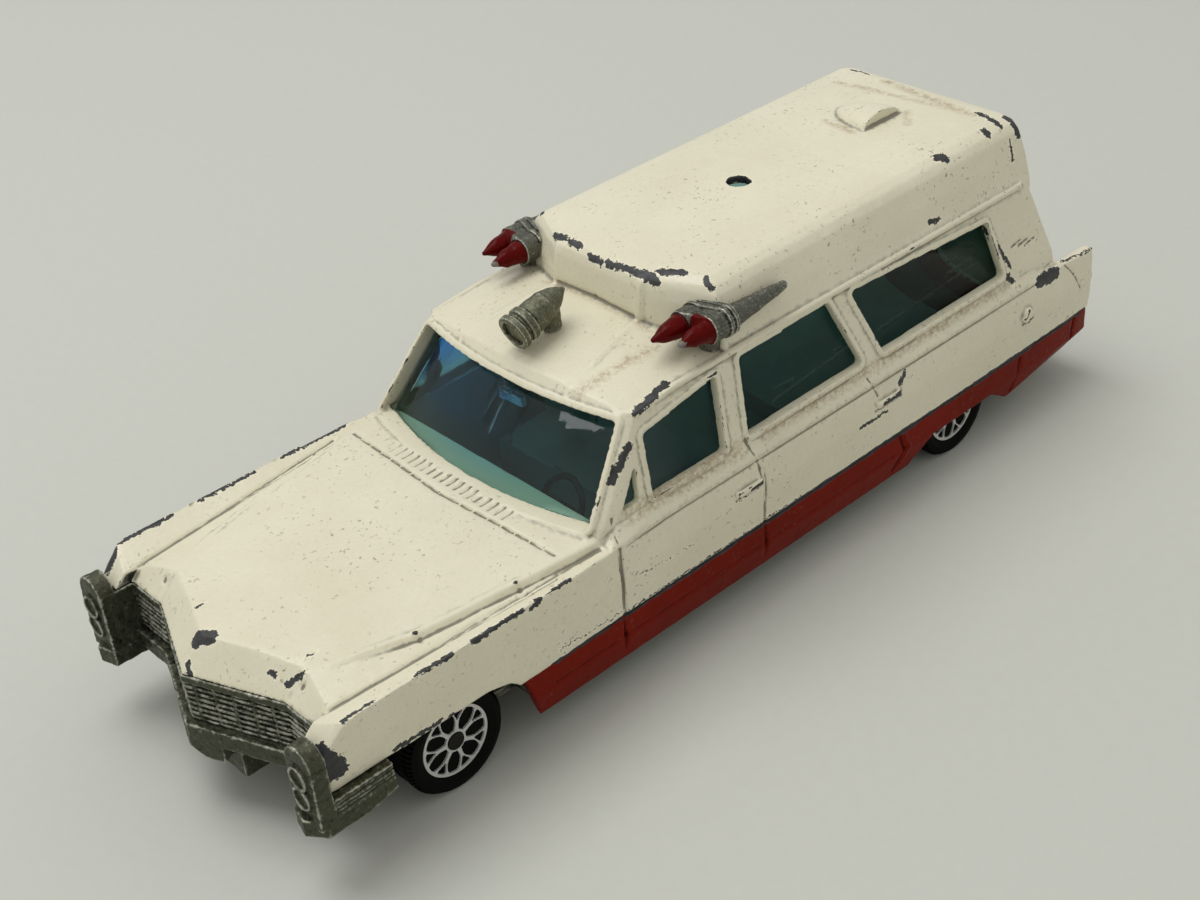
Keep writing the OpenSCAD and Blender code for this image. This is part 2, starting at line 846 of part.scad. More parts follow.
module post(p) {
    translate([p[0], p[1], ground_gap - head_t]) {
        cylinder(h = p[2] - ground_gap + head_t, r = post_r);
        cylinder(h = head_t, r = head_r);
    }
}

module body_shell() {
    color("ivory")
        difference() {
            shell_skin();
            translate([hole_share * half_len, 0, roof_h - 2 * wall])
                cylinder(h = 2 * wall + over, d = hole_d);
            on_rear_slope()
                hinge_bores(hold_gap);
        }
}

// Red casting

function skirt_ring(row) =
    let (
        x = row[0] * half_len,
        foot = mix(ground_gap, split_h, row[4]),
        crease = max(foot + fit, mix(ground_gap, split_h, skirt_crease_share))
    )
    mirrored([
        [x, row[3] * half_w, foot], [x, row[2] * half_w, crease], [x, row[1] * half_w, split_h - fit]
    ]);

module lower_body() {
    front_x = front_axle_x - arch_back;
    color("firebrick")
        resize([0, 0, 0])
            union() {
                difference() {
                    skin([for (row = skirt_shares) skirt_ring(row)]);
                    translate([valance_x + wall, -room_y, 0])
                        cube([body_len, 2 * room_y, reach]);
                    translate([-reach + valance_x, -rear_bumper_half_w - fit, 0])
                        cube([reach, 2 * (rear_bumper_half_w + fit), reach]);
                    across([
                        [front_x, split_h], [front_x - skirt_rake, 0],
                        [half_len, 0], [half_len, split_h]
                    ]);
                    across([
                        [rear_axle_x + skirt_arch_foot, 0], [rear_axle_x + skirt_arch_head, skirt_arch_h],
                        [rear_axle_x - skirt_arch_head, skirt_arch_h], [rear_axle_x - skirt_arch_foot, 0]
                    ]);
                    both_sides()
                        for (share = shut_shares)
                            translate([share * half_len - groove_w / 2, room_share * half_w - groove, 0])
                                cube([groove_w, half_w, reach]);
                }
                translate([pan_rear_x, -room_y - pan_lap, floor_top + fit])
                    cube([pan_front_x - pan_rear_x, 2 * (room_y + pan_lap), pan_t]);
            }
}

// Chassis

function plate_plan() =
    mirrored([
        [casting_back_x - fit, 0], [casting_back_x - fit, pod_y],
        [front_axle_x + wheel_r + front_wheel_room, pod_y],
        [front_axle_x + wheel_r + front_wheel_room, neck_y],
        [pan_front_x, neck_y], [pan_front_x, plate_y], [pan_rear_x, plate_y], [pan_rear_x, neck_y],
        [rear_axle_x - skirt_arch_foot, neck_y], [rear_axle_x - skirt_arch_foot, rear_post_y + head_r + fit],
        [plate_rear_x, rear_post_y + head_r + fit]
    ]);

module axle_bosses(x) {
    both_sides()
        translate([x - boss_w / 2, neck_y - boss_len, ground_gap])
            cube([boss_w, boss_len, boss_h - ground_gap]);
}

module axle_bore(x, r) {
    translate([x, half_w, wheel_r])
        rotate([90, 0, 0])
            cylinder(h = body_w, r = r);
}

module base_plate() {
    color("dimgray")
        difference() {
            union() {
                translate([0, 0, ground_gap])
                    linear_extrude(floor_t)
                        polygon(plate_plan());
                axle_bosses(front_axle_x);
                axle_bosses(rear_axle_x);
            }
            axle_bore(front_axle_x, axle_r + hold_gap);
            axle_bore(rear_axle_x, axle_r + hold_gap);
            for (p = posts)
                translate([p[0], p[1], 0])
                    cylinder(h = reach, r = post_r + fit);
        }
}

// Front casting

// Pointed band of the grille between two heights, from out ahead of its face to back behind it
module grille_band(low, high, out, back) {
    translate([0, 0, low])
        linear_extrude(high - low)
            polygon(mirrored([
                [prow_x + out, 0], [grille_end_x + out, grille_half_w], [grille_end_x + out, pod_y],
                [grille_end_x - back, pod_y], [grille_end_x - back, grille_half_w], [prow_x - back, 0]
            ]));
}

module grille() {
    head = grille_top - grille_rail;
    pitch = (head - grille_foot) / (grille_bars + bar_share);
    grille_band(grille_foot, grille_top, -grille_recess, casting_t);
    grille_band(head, grille_top, 0, casting_t);
    for (i = [0:grille_bars - 1])
        grille_band(
            grille_foot + (i + bar_share) * pitch, grille_foot + (i + 2 * bar_share) * pitch, -fit, casting_t
        );
    both_sides()
        for (y = [rib_pitch / 2:rib_pitch:grille_half_w])
            translate([prow_x - y * tan(prow_tilt) - 2 * grille_recess, y - rib_w / 2, grille_foot + fit])
                cube([2 * grille_recess - 2 * fit, rib_w, head - grille_foot]);
}

// Bumper under the grille with its pointed guard
module bumper() {
    blade_foot = grille_foot - blade_h;
    guard_foot = grille_foot - fit - guard_h;
    grille_band(blade_foot, grille_foot + fit, blade_out, casting_t);
    intersection() {
        across([
            [grille_end_x, blade_foot], [half_len - 2 * guard_chamfer, guard_foot],
            [half_len - guard_chamfer, guard_foot], [half_len, guard_foot + 2 * guard_chamfer],
            [half_len - guard_chamfer, guard_foot + guard_h], [grille_end_x, guard_foot + guard_h]
        ], 2 * guard_half_w);
        grille_band(0, grille_top, guard_out, 2 * casting_t);
    }
}

// Lamp pod with the bumper's end and the ribbed wrap beside the fender
module lamp_pod() {
    pod_foot = bumper_foot + blade_h;
    rib = (arch_h - pod_foot) / (2 * wrap_ribs + 1);
    translate([fender_tip_x + fit, 0, 0])
        rotate([90, 0, 90])
            linear_extrude(pod_x - fender_tip_x - fit) {
                translate([pod_y, pod_foot - over])
                    square([pod_w, pod_head_h - pod_w / 2 - pod_foot + over]);
                translate([pod_y + pod_w / 2, pod_head_h - pod_w / 2])
                    circle(d = pod_w);
            }
    for (share = lamp_shares)
        translate([pod_x - fit, pod_y + pod_w / 2, mix(pod_foot, pod_head_h, share)])
            difference() {
                drum(lamp_out + fit, lamp_r);
                translate([lamp_out / 2, 0, 0])
                    drum(over, lamp_r - lamp_ring);
            }
    translate([casting_back_x + fit, pod_y - fit, pod_foot - over])
        cube([pod_x - casting_back_x - 2 * fit, wall, grille_top - pod_foot + over]);
    intersection() {
        translate([0, 0, bumper_foot])
            linear_extrude(blade_h)
                polygon([
                    [casting_back_x, pod_y - 2 * fit], [pod_x + fit, pod_y - 2 * fit],
                    [pod_x + blade_out, pod_y + pod_w / 2], [pod_x - blade_out, pod_outer_y],
                    [pod_x - wrap_len, pod_outer_y], [pod_x - wrap_len, pod_outer_y - wrap_t],
                    [fender_tip_x, pod_outer_y - wrap_t],
                    [fender_tip_x, pod_y + wall], [casting_back_x, pod_y + wall]
                ]);
        across([
            [half_len + over, bumper_foot - over], [fender_tip_x, bumper_foot - over],
            [pod_x - wrap_len - over, pod_foot - wrap_tip], [pod_x - wrap_len - over, pod_foot + over],
            [half_len + over, pod_foot + over]
        ]);
    }
    difference() {
        translate([pod_x - wrap_len + fit, pod_outer_y - wrap_t + fit, pod_foot - 2 * fit])
            cube([wrap_len - 2 * fit, wrap_t - 2 * fit, arch_h - pod_foot + fit]);
        for (i = [0:wrap_ribs - 1])
            translate([pod_x - wrap_len - over, pod_outer_y - wrap_groove, pod_foot + (2 * i + 1) * rib])
                cube([wrap_len - wall, over, rib]);
    }
}

module grille_bumper() {
    post_x = posts[0][0];
    tongue_back = post_x - tongue_w / 2;
    color("gray")
        resize([0, 0, 0])
            difference() {
                union() {
                    grille();
                    bumper();
                    both_sides()
                        lamp_pod();
                    translate([tongue_back, -tongue_w / 2, floor_top + fit])
                        cube([grille_end_x - tongue_back, tongue_w, tongue_t]);
                    translate([grille_end_x - wall, -tongue_w / 2, floor_top + fit])
                        cube([prow_x - grille_end_x - wall, tongue_w, grille_foot - blade_h / 2 - floor_top]);
                }
                translate([post_x, 0, 0])
                    cylinder(h = reach, r = post_r + fit, $fn = 32);
            }
}

module rear_bumper() {
    low = floor_top + fit;
    arm_x = posts[1][0] + head_r;
    color("gray")
        difference() {
            union() {
                translate([0, 0, low])
                    linear_extrude(rear_bumper_h - low)
                        polygon(mirrored([
                            [-half_len, 0], [-half_len + rear_bumper_bow, rear_bumper_half_w],
                            [valance_x - fit, rear_bumper_half_w], [valance_x - fit, 0]
                        ]));
                translate([valance_x - rear_bumper_bow, -rear_post_y - head_r, low])
                    cube([arm_x - valance_x + rear_bumper_bow, 2 * (rear_post_y + head_r), tongue_t]);
            }
            for (i = [1, 2])
                translate([posts[i][0], posts[i][1], 0])
                    cylinder(h = reach, r = post_r + fit);
        }
}

// Glazing

module glazing() {
    foot = sill_h - glass_foot;
    mirror_at = [mirror_shares[0] * half_len, 0, cabin_z(mirror_shares[1])];
    stalk_at = [stalk_shares[0] * half_len, 0, cabin_z(stalk_shares[1])];
    color("lightblue")
        resize([0, 0, 0])
            union() {
                difference() {
                    intersection() {
                        cabin(-glass_in, foot, gutter_h + over);
                        under_cab_roof(glass_in);
                    }
                    cabin(-glass_in - glass_t, foot - over, gutter_h + 2 * over);
                    translate([glass_rear_share * half_len - reach, -reach / 2, 0])
                        cube(reach);
                    translate([-reach, -reach / 2, gutter_h - glass_in])
                        cube(reach);
                }
                translate(mirror_at)
                    cube([mirror_t, mirror_w, mirror_h], center = true);
                rail(mirror_at, stalk_at, stalk_w, stalk_w);
            }
}

// Interior

module interior_tub() {
    deck_front_x = pan_rear_x + wall;
    floor_end_x = dash_x + dash_t;
    deck_rear_x = posts[1][0] + post_r + bulkhead_gap;
    shelf_h = sill_h - glass_foot - fit;
    seat_x = seat_share * half_len;
    color("lightgray")
        resize([0, 0, 0])
            union() {
                translate([deck_front_x, -tub_y, tub_floor_h])
                    cube([floor_end_x - deck_front_x, 2 * tub_y, tub_t]);
                translate([deck_front_x, -neck_y, tub_floor_h])
                    cube([tub_t, 2 * neck_y, deck_h + tub_t - tub_floor_h]);
                translate([deck_rear_x, -neck_y, deck_h])
                    cube([deck_front_x + tub_t - deck_rear_x, 2 * neck_y, tub_t]);
                translate([dash_x, -tub_y, tub_floor_h])
                    cube([dash_t, 2 * tub_y, shelf_h - tub_floor_h]);
                intersection() {
                    cabin(-glass_in, sill_h - 2 * over, sill_h + over);
                    translate([dash_x, -half_w, shelf_h - shelf_drop + fit])
                        cube([half_len, body_w, shelf_drop - fit]);
                }
                both_sides()
                    translate([deck_front_x, tub_y - tub_t, tub_floor_h])
                        cube([floor_end_x - deck_front_x, tub_t, shelf_h - tub_floor_h]);
                translate([seat_x, -seat_half_w, tub_floor_h])
                    cube([seat_len, 2 * seat_half_w, seat_h]);
                translate([seat_x - seat_back_t, -seat_half_w, tub_floor_h])
                    cube([seat_back_t + fit, 2 * seat_half_w, seat_back_h]);
            }
}

module steering_wheel() {
    tip_z = sill_h - glass_foot - shelf_drop - column_r;
    color("black")
        translate([dash_x - fit, steering_share * half_w, tip_z - steering_drop])
            rotate([0, column_tilt - 180, 0]) {
                difference() {
                    cylinder(h = column_len, r = column_r);
                    rotate([0, 180 - column_tilt, 0])
                        translate([0, -over, -over])
                            cube(2 * over);
                }
                translate([0, 0, column_len]) {
                    rotate_extrude()
                        translate([rim_r, 0])
                            circle(d = rim_t, $fn = 16);
                    cube([spoke_w, 2 * rim_r, spoke_w], center = true);
                }
            }
}

// Rear door

module door_window_cut(low_x, high_x, lap) {
    half = door_window_shares[0] * door_w + lap;
    low = door_window_shares[1] * door_len - lap;
    high = door_window_shares[2] * door_len + lap;
    translate([low_x, -half, low])
        cube([high_x - low_x, 2 * half, high - low]);
}

module rear_door() {
    color("ivory")
        on_rear_slope()
            difference() {
                union() {
                    translate([0, -door_w / 2, 0])
                        cube([door_t, door_w, door_len]);
                    for (share = hinge_shares)
                        hinge_half(share * door_len, -1);
                    translate([0, door_knob_shares[0] * door_w, door_knob_shares[1] * door_len])
                        rotate([0, -90, 0])
                            cylinder(h = door_knob_out, d = door_knob_d);
                }
                door_window_cut(-over, door_t + over, 0);
                hinge_bores(running_gap);
            }
}

module rear_door_window() {
    color("lightblue")
        on_rear_slope()
            door_window_cut(door_t, door_t + pane_t, pane_lap);
}

module hinge_pins() {
    color("silver")
        on_rear_slope()
            for (share = hinge_shares)
                translate([-hinge_out, hinge_y, share * door_len])
                    cylinder(h = 2 * knuckle_len + knuckle_gap, r = pin_r);
}

// Wheels and axles

module axle(x) {
    len = track_w - 2 * (axle_pocket - axle_head_t);
    color("silver")
        translate([x, len / 2, wheel_r])
            rotate([90, 0, 0]) {
                cylinder(h = len, r = axle_r);
                cylinder(h = axle_head_t - fit, r = axle_head_r);
                translate([0, 0, len - axle_head_t + fit])
                    cylinder(h = axle_head_t - fit, r = axle_head_r);
            }
}

// Wheel with its inner face at Y = 0 and its printed face outwards, on the side that side names
module wheel(x, side) {
    color("black")
        translate([x, side * wheel_y, wheel_r])
            rotate([-side * 90, 0, 0])
                rotate_extrude()
                    polygon([
                        [axle_r + running_gap, 0], [wheel_r - tread_chamfer, 0], [wheel_r, tread_chamfer],
                        [wheel_r, wheel_w - tread_chamfer], [wheel_r - tread_chamfer, wheel_w],
                        [hub_r, wheel_w], [hub_r, wheel_w - hub_depth], [axle_pocket_r, wheel_w - hub_depth],
                        [axle_pocket_r, wheel_w - axle_pocket], [axle_r + running_gap, wheel_w - axle_pocket]
                    ]);
}

// Roof fittings

module cone() {
    r = cone_d / 2;
    rotate([0, 90, 0])
        rotate_extrude($fn = 24)
            polygon([
                [0, -over], [r, -over], [r, 0], [cone_mid_r_share * r, cone_mid_share * cone_len],
                [cone_tip_r, cone_len], [0, cone_len]
            ]);
}

// Two drums side by side, staggered like the cones, drawn together
module twin_barrel(back, h, r) {
    hull()
        for (i = [0, 1])
            translate([
                flasher_tip_x - cone_len - i * flasher_step - back,
                flasher_y + i * flasher_pitch_y,
                flasher_h
            ])
                drum(h, r, $fn = 24);
}

module flasher() {
    barrel_x = flasher_tip_x - cone_len;
    outer_y = flasher_y + flasher_pitch_y;
    color("gray")
        resize([0, 0, 0])
            difference() {
                union() {
                    for (i = [0, 1])
                        translate([barrel_x - i * flasher_step, flasher_y + i * flasher_pitch_y, flasher_h])
                            cone();
                    twin_barrel(barrel_len, barrel_len, barrel_r);
                    for (i = [0, 1])
                        twin_barrel(barrel_len - 2 * i * ring_t, ring_t, barrel_r + ring_out);
                    hull() {
                        translate([barrel_x - flasher_step - barrel_len, outer_y, flasher_h])
                            drum(ring_t, barrel_r - barrel_wall, $fn = 24);
                        translate([
                            barrel_x - barrel_len - tail_len, outer_y + tail_out, flasher_h + tail_rise
                        ])
                            sphere(tail_tip_r, $fn = 12);
                    }
                    translate([
                        barrel_x - flasher_step - barrel_len / 2, flasher_y + flasher_pitch_y / 2, gutter_h
                    ])
                        cylinder(h = flasher_h - gutter_h, r = flasher_foot_r, $fn = 24);
                }
                raised_roof(fit);
                under_cab_roof(-fit);
            }
}

module siren() {
    r = siren_d / 2;
    color("gray")
        resize([0, 0, 0])
            difference() {
                union() {
                    translate([siren_front_share * half_len, 0, siren_face_h])
                        rotate([0, siren_tilt - 90, 0])
                            rotate_extrude()
                                polygon(concat(
                                    [[0, siren_dish_shares[1][0] * siren_len]],
                                    [
                                        for (i = [1, 0])
                                            [siren_dish_shares[i][1] * r, siren_dish_shares[i][0] * siren_len]
                                    ],
                                    [for (s = siren_shares) [s[1] * r, s[0] * siren_len]],
                                    [[0, siren_len]]
                                ));
                    translate([
                        siren_front_share * half_len - siren_foot_share * siren_len * cos(siren_tilt),
                        0,
                        gutter_h
                    ])
                        cylinder(
                            h = siren_face_h + siren_foot_share * siren_len * sin(siren_tilt) - gutter_h,
                            r = siren_foot_r
                        );
                }
                under_cab_roof(-fit);
            }
}

body_shell();
lower_body();
base_plate();
grille_bumper();
rear_bumper();
glazing();
interior_tub();
steering_wheel();
rear_door();
rear_door_window();
hinge_pins();
axle(front_axle_x);  // front_axle
axle(rear_axle_x);  // rear_axle
wheel(front_axle_x, 1);  // wheel_front_left
wheel(front_axle_x, -1);  // wheel_front_right
wheel(rear_axle_x, 1);  // wheel_rear_left
wheel(rear_axle_x, -1);  // wheel_rear_right
flasher();  // flasher_left
mirror([0, 1, 0]) flasher();  // flasher_right
siren();
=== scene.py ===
import math
import bmesh
import bpy
import numpy as np
from mathutils import Matrix, Vector
from mathutils.bvhtree import BVHTree


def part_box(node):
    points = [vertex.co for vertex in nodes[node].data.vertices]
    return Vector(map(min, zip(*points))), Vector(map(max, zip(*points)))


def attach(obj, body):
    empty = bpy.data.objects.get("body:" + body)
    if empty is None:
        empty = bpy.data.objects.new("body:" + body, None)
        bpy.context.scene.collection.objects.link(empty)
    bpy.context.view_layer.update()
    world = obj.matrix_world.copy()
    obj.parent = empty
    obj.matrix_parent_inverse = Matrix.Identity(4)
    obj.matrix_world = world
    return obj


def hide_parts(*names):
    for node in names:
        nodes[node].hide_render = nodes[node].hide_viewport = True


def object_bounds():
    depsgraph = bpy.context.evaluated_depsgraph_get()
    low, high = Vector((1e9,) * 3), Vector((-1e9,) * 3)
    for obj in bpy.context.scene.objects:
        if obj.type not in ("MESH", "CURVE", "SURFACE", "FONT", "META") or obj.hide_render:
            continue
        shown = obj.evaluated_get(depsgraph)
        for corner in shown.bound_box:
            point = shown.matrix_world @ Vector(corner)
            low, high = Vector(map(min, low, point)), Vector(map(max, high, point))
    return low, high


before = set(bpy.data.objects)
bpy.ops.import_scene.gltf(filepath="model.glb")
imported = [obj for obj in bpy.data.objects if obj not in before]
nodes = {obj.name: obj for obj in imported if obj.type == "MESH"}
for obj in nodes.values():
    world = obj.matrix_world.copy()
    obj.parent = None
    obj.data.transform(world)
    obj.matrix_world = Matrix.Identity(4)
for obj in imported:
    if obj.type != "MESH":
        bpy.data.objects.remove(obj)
cad_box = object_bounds()
scene = bpy.context.scene
scene.view_settings.view_transform = "Standard"
MM = 0.001

# Camera at the photograph's viewing angle

LENS, SENSOR = 54.74, 36.0
CLIP_NEAR, CLIP_FAR = 0.01, 20.0
AZIMUTH, ELEVATION, ROLL = (math.radians(v) for v in (139.634, 34.058, -5.015))
VIEW_TARGET = Vector((5.60, -1.96, 15.40)) * MM
VIEW_DISTANCE = 259.82 * MM


def make_camera():
    back = Vector((
        math.sin(AZIMUTH) * math.cos(ELEVATION), -math.cos(AZIMUTH) * math.cos(ELEVATION), math.sin(ELEVATION)
    ))
    right = (-back).cross(Vector((0, 0, 1))).normalized()
    up = right.cross(-back)
    turned_right = right * math.cos(ROLL) + up * math.sin(ROLL)
    turned_up = up * math.cos(ROLL) - right * math.sin(ROLL)
    camera = bpy.data.objects.new("view", bpy.data.cameras.new("view"))
    camera.data.lens = LENS
    camera.data.sensor_width = SENSOR
    camera.data.clip_start = CLIP_NEAR
    camera.data.clip_end = CLIP_FAR
    place = Matrix((turned_right, turned_up, back)).transposed().to_4x4()
    place.translation = VIEW_TARGET + back * VIEW_DISTANCE
    camera.matrix_world = place
    scene.collection.objects.link(camera)
    scene.camera = camera


make_camera()

# Shader helpers

MIX_SHARE, MIX_FIRST, MIX_SECOND, MIX_RESULT = 0, 6, 7, 2
MIDDLE = (0.5, 0.5, 0.5)


def set_inputs(tree, node, inputs):
    """Links each input that is given a socket, and sets the others to the values given."""
    for key, value in inputs.items():
        if isinstance(value, bpy.types.NodeSocket):
            tree.links.new(value, node.inputs[key])
        else:
            node.inputs[key].default_value = value


def put(tree, kind, inputs=None, **settings):
    node = tree.nodes.new(kind)
    for name, value in settings.items():
        setattr(node, name, value)
    set_inputs(tree, node, inputs or {})
    return node


def calc(tree, operation, a, b=0.0, clamp=False):
    return put(tree, "ShaderNodeMath", {0: a, 1: b}, operation=operation, use_clamp=clamp).outputs[0]


def vector(tree, operation, a, b=(0, 0, 0)):
    return put(tree, "ShaderNodeVectorMath", {0: a, 1: b}, operation=operation).outputs[0]


def measure(tree, operation, a, b):
    """A single number worked out from two vectors."""
    return put(tree, "ShaderNodeVectorMath", {0: a, 1: b}, operation=operation).outputs["Value"]


def ramp(tree, value, low, high, to_low=0.0, to_high=1.0):
    inputs = {"Value": value, "From Min": low, "From Max": high, "To Min": to_low, "To Max": to_high}
    return put(tree, "ShaderNodeMapRange", inputs, clamp=True).outputs[0]


def blend_colour(tree, share, a, b):
    node = put(tree, "ShaderNodeMix", data_type="RGBA")
    first, second = ((*v, 1) if isinstance(v, tuple) else v for v in (a, b))
    set_inputs(tree, node, {MIX_SHARE: share, MIX_FIRST: first, MIX_SECOND: second})
    return node.outputs[MIX_RESULT]


def shade(colour, gain):
    """A colour made darker or lighter by a factor."""
    return tuple(min(1.0, gain * v) for v in colour)


def noise(tree, place, scale, detail=3.0, rough=0.55):
    inputs = {"Vector": place, "Scale": scale, "Detail": detail, "Roughness": rough}
    return put(tree, "ShaderNodeTexNoise", inputs).outputs["Fac"]


def shaken_place(tree, place, reach, scale, rough):
    """The place, moved about at random so that marks get ragged edges."""
    inputs = {"Vector": place, "Scale": scale, "Detail": 4.0, "Roughness": rough}
    wander = put(tree, "ShaderNodeTexNoise", inputs).outputs["Color"]
    shaken = vector(tree, "MULTIPLY_ADD", vector(tree, "SUBTRACT", wander, MIDDLE), (reach, reach, reach))
    tree.links.new(place, shaken.node.inputs[2])
    return shaken


def new_group(name, inputs, outputs):
    tree = bpy.data.node_groups.new(name, "ShaderNodeTree")
    for label, kind in inputs:
        tree.interface.new_socket(name=label, in_out="INPUT", socket_type="NodeSocket" + kind)
    for label, kind in outputs:
        tree.interface.new_socket(name=label, in_out="OUTPUT", socket_type="NodeSocket" + kind)
    return tree, tree.nodes.new("NodeGroupInput").outputs, tree.nodes.new("NodeGroupOutput").inputs


def use_group(tree, group, inputs):
    node = tree.nodes.new("ShaderNodeGroup")
    node.node_tree = group
    set_inputs(tree, node, inputs)
    return node.outputs


def make_chip_group():
    """Distance in millimetres to a chip between two points, or to an earlier chip if that is nearer."""
    tree, given, result = new_group(
        "paint_chip",
        [("Place", "Vector"), ("From", "Vector"), ("To", "Vector"), ("Reach", "Float"), ("Nearest", "Float")],
        [("Nearest", "Float")],
    )
    run = vector(tree, "SUBTRACT", given["To"], given["From"])
    off = vector(tree, "SUBTRACT", given["Place"], given["From"])
    along, length = measure(tree, "DOT_PRODUCT", off, run), measure(tree, "DOT_PRODUCT", run, run)
    share = calc(tree, "DIVIDE", along, length, clamp=True)
    step = put(tree, "ShaderNodeVectorMath", {0: run, "Scale": share}, operation="SCALE").outputs[0]
    away = calc(tree, "SUBTRACT", measure(tree, "DISTANCE", off, step), given["Reach"])
    tree.links.new(calc(tree, "MINIMUM", away, given["Nearest"]), result[0])
    return tree


SPECK_RARITY, SPECK_RIM = 9.0, 0.02


def make_speck_group():
    """Small round specks of uneven size, one in some cells of a grid."""
    tree, given, result = new_group(
        "dirt_specks", [("Place", "Vector"), ("Scale", "Float"), ("Size", "Float")], [("Specks", "Float")]
    )
    cells = put(tree, "ShaderNodeTexVoronoi", {"Vector": given["Place"], "Scale": given["Scale"]})
    chance = put(tree, "ShaderNodeSeparateColor", {0: cells.outputs["Color"]}).outputs[0]
    reach = calc(tree, "MULTIPLY", calc(tree, "POWER", chance, SPECK_RARITY), given["Size"])
    edge = calc(tree, "SUBTRACT", reach, cells.outputs["Distance"])
    tree.links.new(ramp(tree, edge, 0.0, SPECK_RIM), result[0])
    return tree


# Heights of the relief, in millimetres, over which wear fades in and a hollow fills with painted shade and
# grime
WEAR_FADE = 0.004
HOLLOW_START, HOLLOW_FULL = -0.006, -0.03


def make_edge_group():
    """Broken wear along raised edges, and the hollows for painted shade and grime, from the surface's own
    relief.
    """
    tree, given, result = new_group(
        "worn_edges",
        [("Place", "Vector")] + [(label, "Float") for label in ("Curve", "Start", "Broken", "Scale")],
        [("Edge", "Float"), ("Hollow_shade", "Float")],
    )
    breaks = noise(tree, given["Place"], given["Scale"], detail=4.0, rough=0.6)
    shift = calc(tree, "MULTIPLY", calc(tree, "SUBTRACT", breaks, 0.5), given["Broken"])
    level = calc(tree, "SUBTRACT", calc(tree, "ADD", given["Curve"], shift), given["Start"])
    tree.links.new(ramp(tree, level, 0.0, WEAR_FADE), result[0])
    tree.links.new(ramp(tree, given["Curve"], HOLLOW_START, HOLLOW_FULL), result[1])
    return tree


paint_chip = make_chip_group()
dirt_specks = make_speck_group()
worn_edges = make_edge_group()

# Where the photograph shows something on the part

PHOTO_SIZE = (1200, 900)
PHOTO_FOCUS = PHOTO_SIZE[0] * LENS / SENSOR
SEEN_NODES = (
    "body_shell", "lower_body", "grille_bumper", "flasher_left", "flasher_right", "siren", "glazing",
)


def solid_tree(node):
    mesh = nodes[node].data
    return BVHTree.FromPolygons([v.co for v in mesh.vertices], [face.vertices for face in mesh.polygons])


seen_solids = [solid_tree(node) for node in SEEN_NODES]


def photo_place(pixel):
    """The nearest point of the solids behind a pixel of the photograph, in millimetres."""
    view = scene.camera.matrix_world
    across, down = pixel[0] - PHOTO_SIZE[0] / 2, pixel[1] - PHOTO_SIZE[1] / 2
    line = view.to_3x3() @ Vector((across, -down, -PHOTO_FOCUS))
    hits = [solid.ray_cast(view.translation, line) for solid in seen_solids]
    return min((hit for hit in hits if hit[0]), key=lambda hit: hit[3])[0] / MM


def photo_chip(start, end, reach):
    """A chip on the solids in millimetres, from its ends and half width in pixels of the photograph."""
    start, end = photo_place(start), photo_place(end)
    middle = scene.camera.matrix_world.inverted() @ ((start + end) * MM / 2)
    return (*start, *end, -reach * middle.z / MM / PHOTO_FOCUS)


# Paint chips in the photograph, given in its pixels: from, to, half width
CHIP_PIXELS = [
    ((555, 235), (580, 246), 4.5), ((590, 256), (601, 262), 4.0), ((608, 263), (638, 273), 4.5),
    ((644, 274), (655, 281), 6.0), ((660, 271), (684, 273), 5.0), ((705, 278), (712, 288), 3.5),
    ((636, 412), (666, 384), 5.0), ((611, 480), (629, 446), 5.0), ((310, 748), (338, 770), 13.0),
    ((196, 640), (210, 636), 9.0), ((187, 664), (190, 676), 4.0), ((271, 673), (275, 677), 3.5),
    ((288, 684), (303, 675), 4.0), ((197, 607), (203, 604), 2.5), ((343, 720), (372, 702), 3.5),
    ((416, 675), (451, 654), 4.0), ((474, 641), (498, 626), 4.2), ((500, 624), (522, 611), 4.4),
    ((532, 608), (541, 598), 4.3), ((555, 588), (570, 580), 3.3), ((118, 543), (172, 515), 2.8),
    ((198, 501), (254, 472), 2.5), ((282, 457), (343, 426), 2.6), ((1040, 282), (1056, 273), 7.0),
    ((984, 228), (1000, 250), 3.0), ((1001, 252), (1010, 267), 3.0), ((1008, 277), (1012, 281), 4.0),
    ((937, 158), (945, 158), 5.5), ((985, 131), (989, 135), 4.0), ((977, 113), (1000, 126), 3.4),
    ((1007, 118), (1018, 133), 5.5), ((1010, 140), (1013, 162), 2.0), ((929, 223), (939, 219), 3.0),
    ((900, 384), (904, 374), 3.5), ((1060, 262), (1090, 250), 1.5), ((852, 70), (868, 74), 2.0),
    ((300, 660), (315, 652), 1.5), ((861, 428), (887, 411), 2.3), ((641, 574), (694, 544), 0.9),
    ((625, 612), (766, 519), 1.2), ((768, 517), (900, 435), 1.2), ((560, 650), (622, 612), 1.0),
    ((395, 749), (440, 722), 3.4), ((449, 717), (527, 690), 2.9),
]
# Paint chips that the photograph hides or hardly shows, in millimetres: from, to, half width
DIM_CHIPS = [
    (0.2, -16.1, 46.3, -0.2, -17.0, 46.0, 0.35), (72.8, -23.6, 21.6, 70.2, -24.4, 22.6, 1.00),
    (4.4, 24.3, 18.5, -0.2, 24.3, 18.5, 0.25), (-24.2, 24.3, 18.5, -29.0, 24.3, 18.5, 0.25),
    (-60.2, 24.4, 17.4, -58.4, 24.4, 16.9, 0.35), (-30.0, 23.9, 11.7, -72.0, 23.8, 11.7, 0.18),
    (-57.0, -20.5, 33.0, -58.4, -21.2, 30.0, 0.40), (-12.0, -24.2, 22.4, -16.0, -24.2, 22.2, 0.35),
]
SHELL_CHIPS = [photo_chip(*chip) for chip in CHIP_PIXELS] + DIM_CHIPS
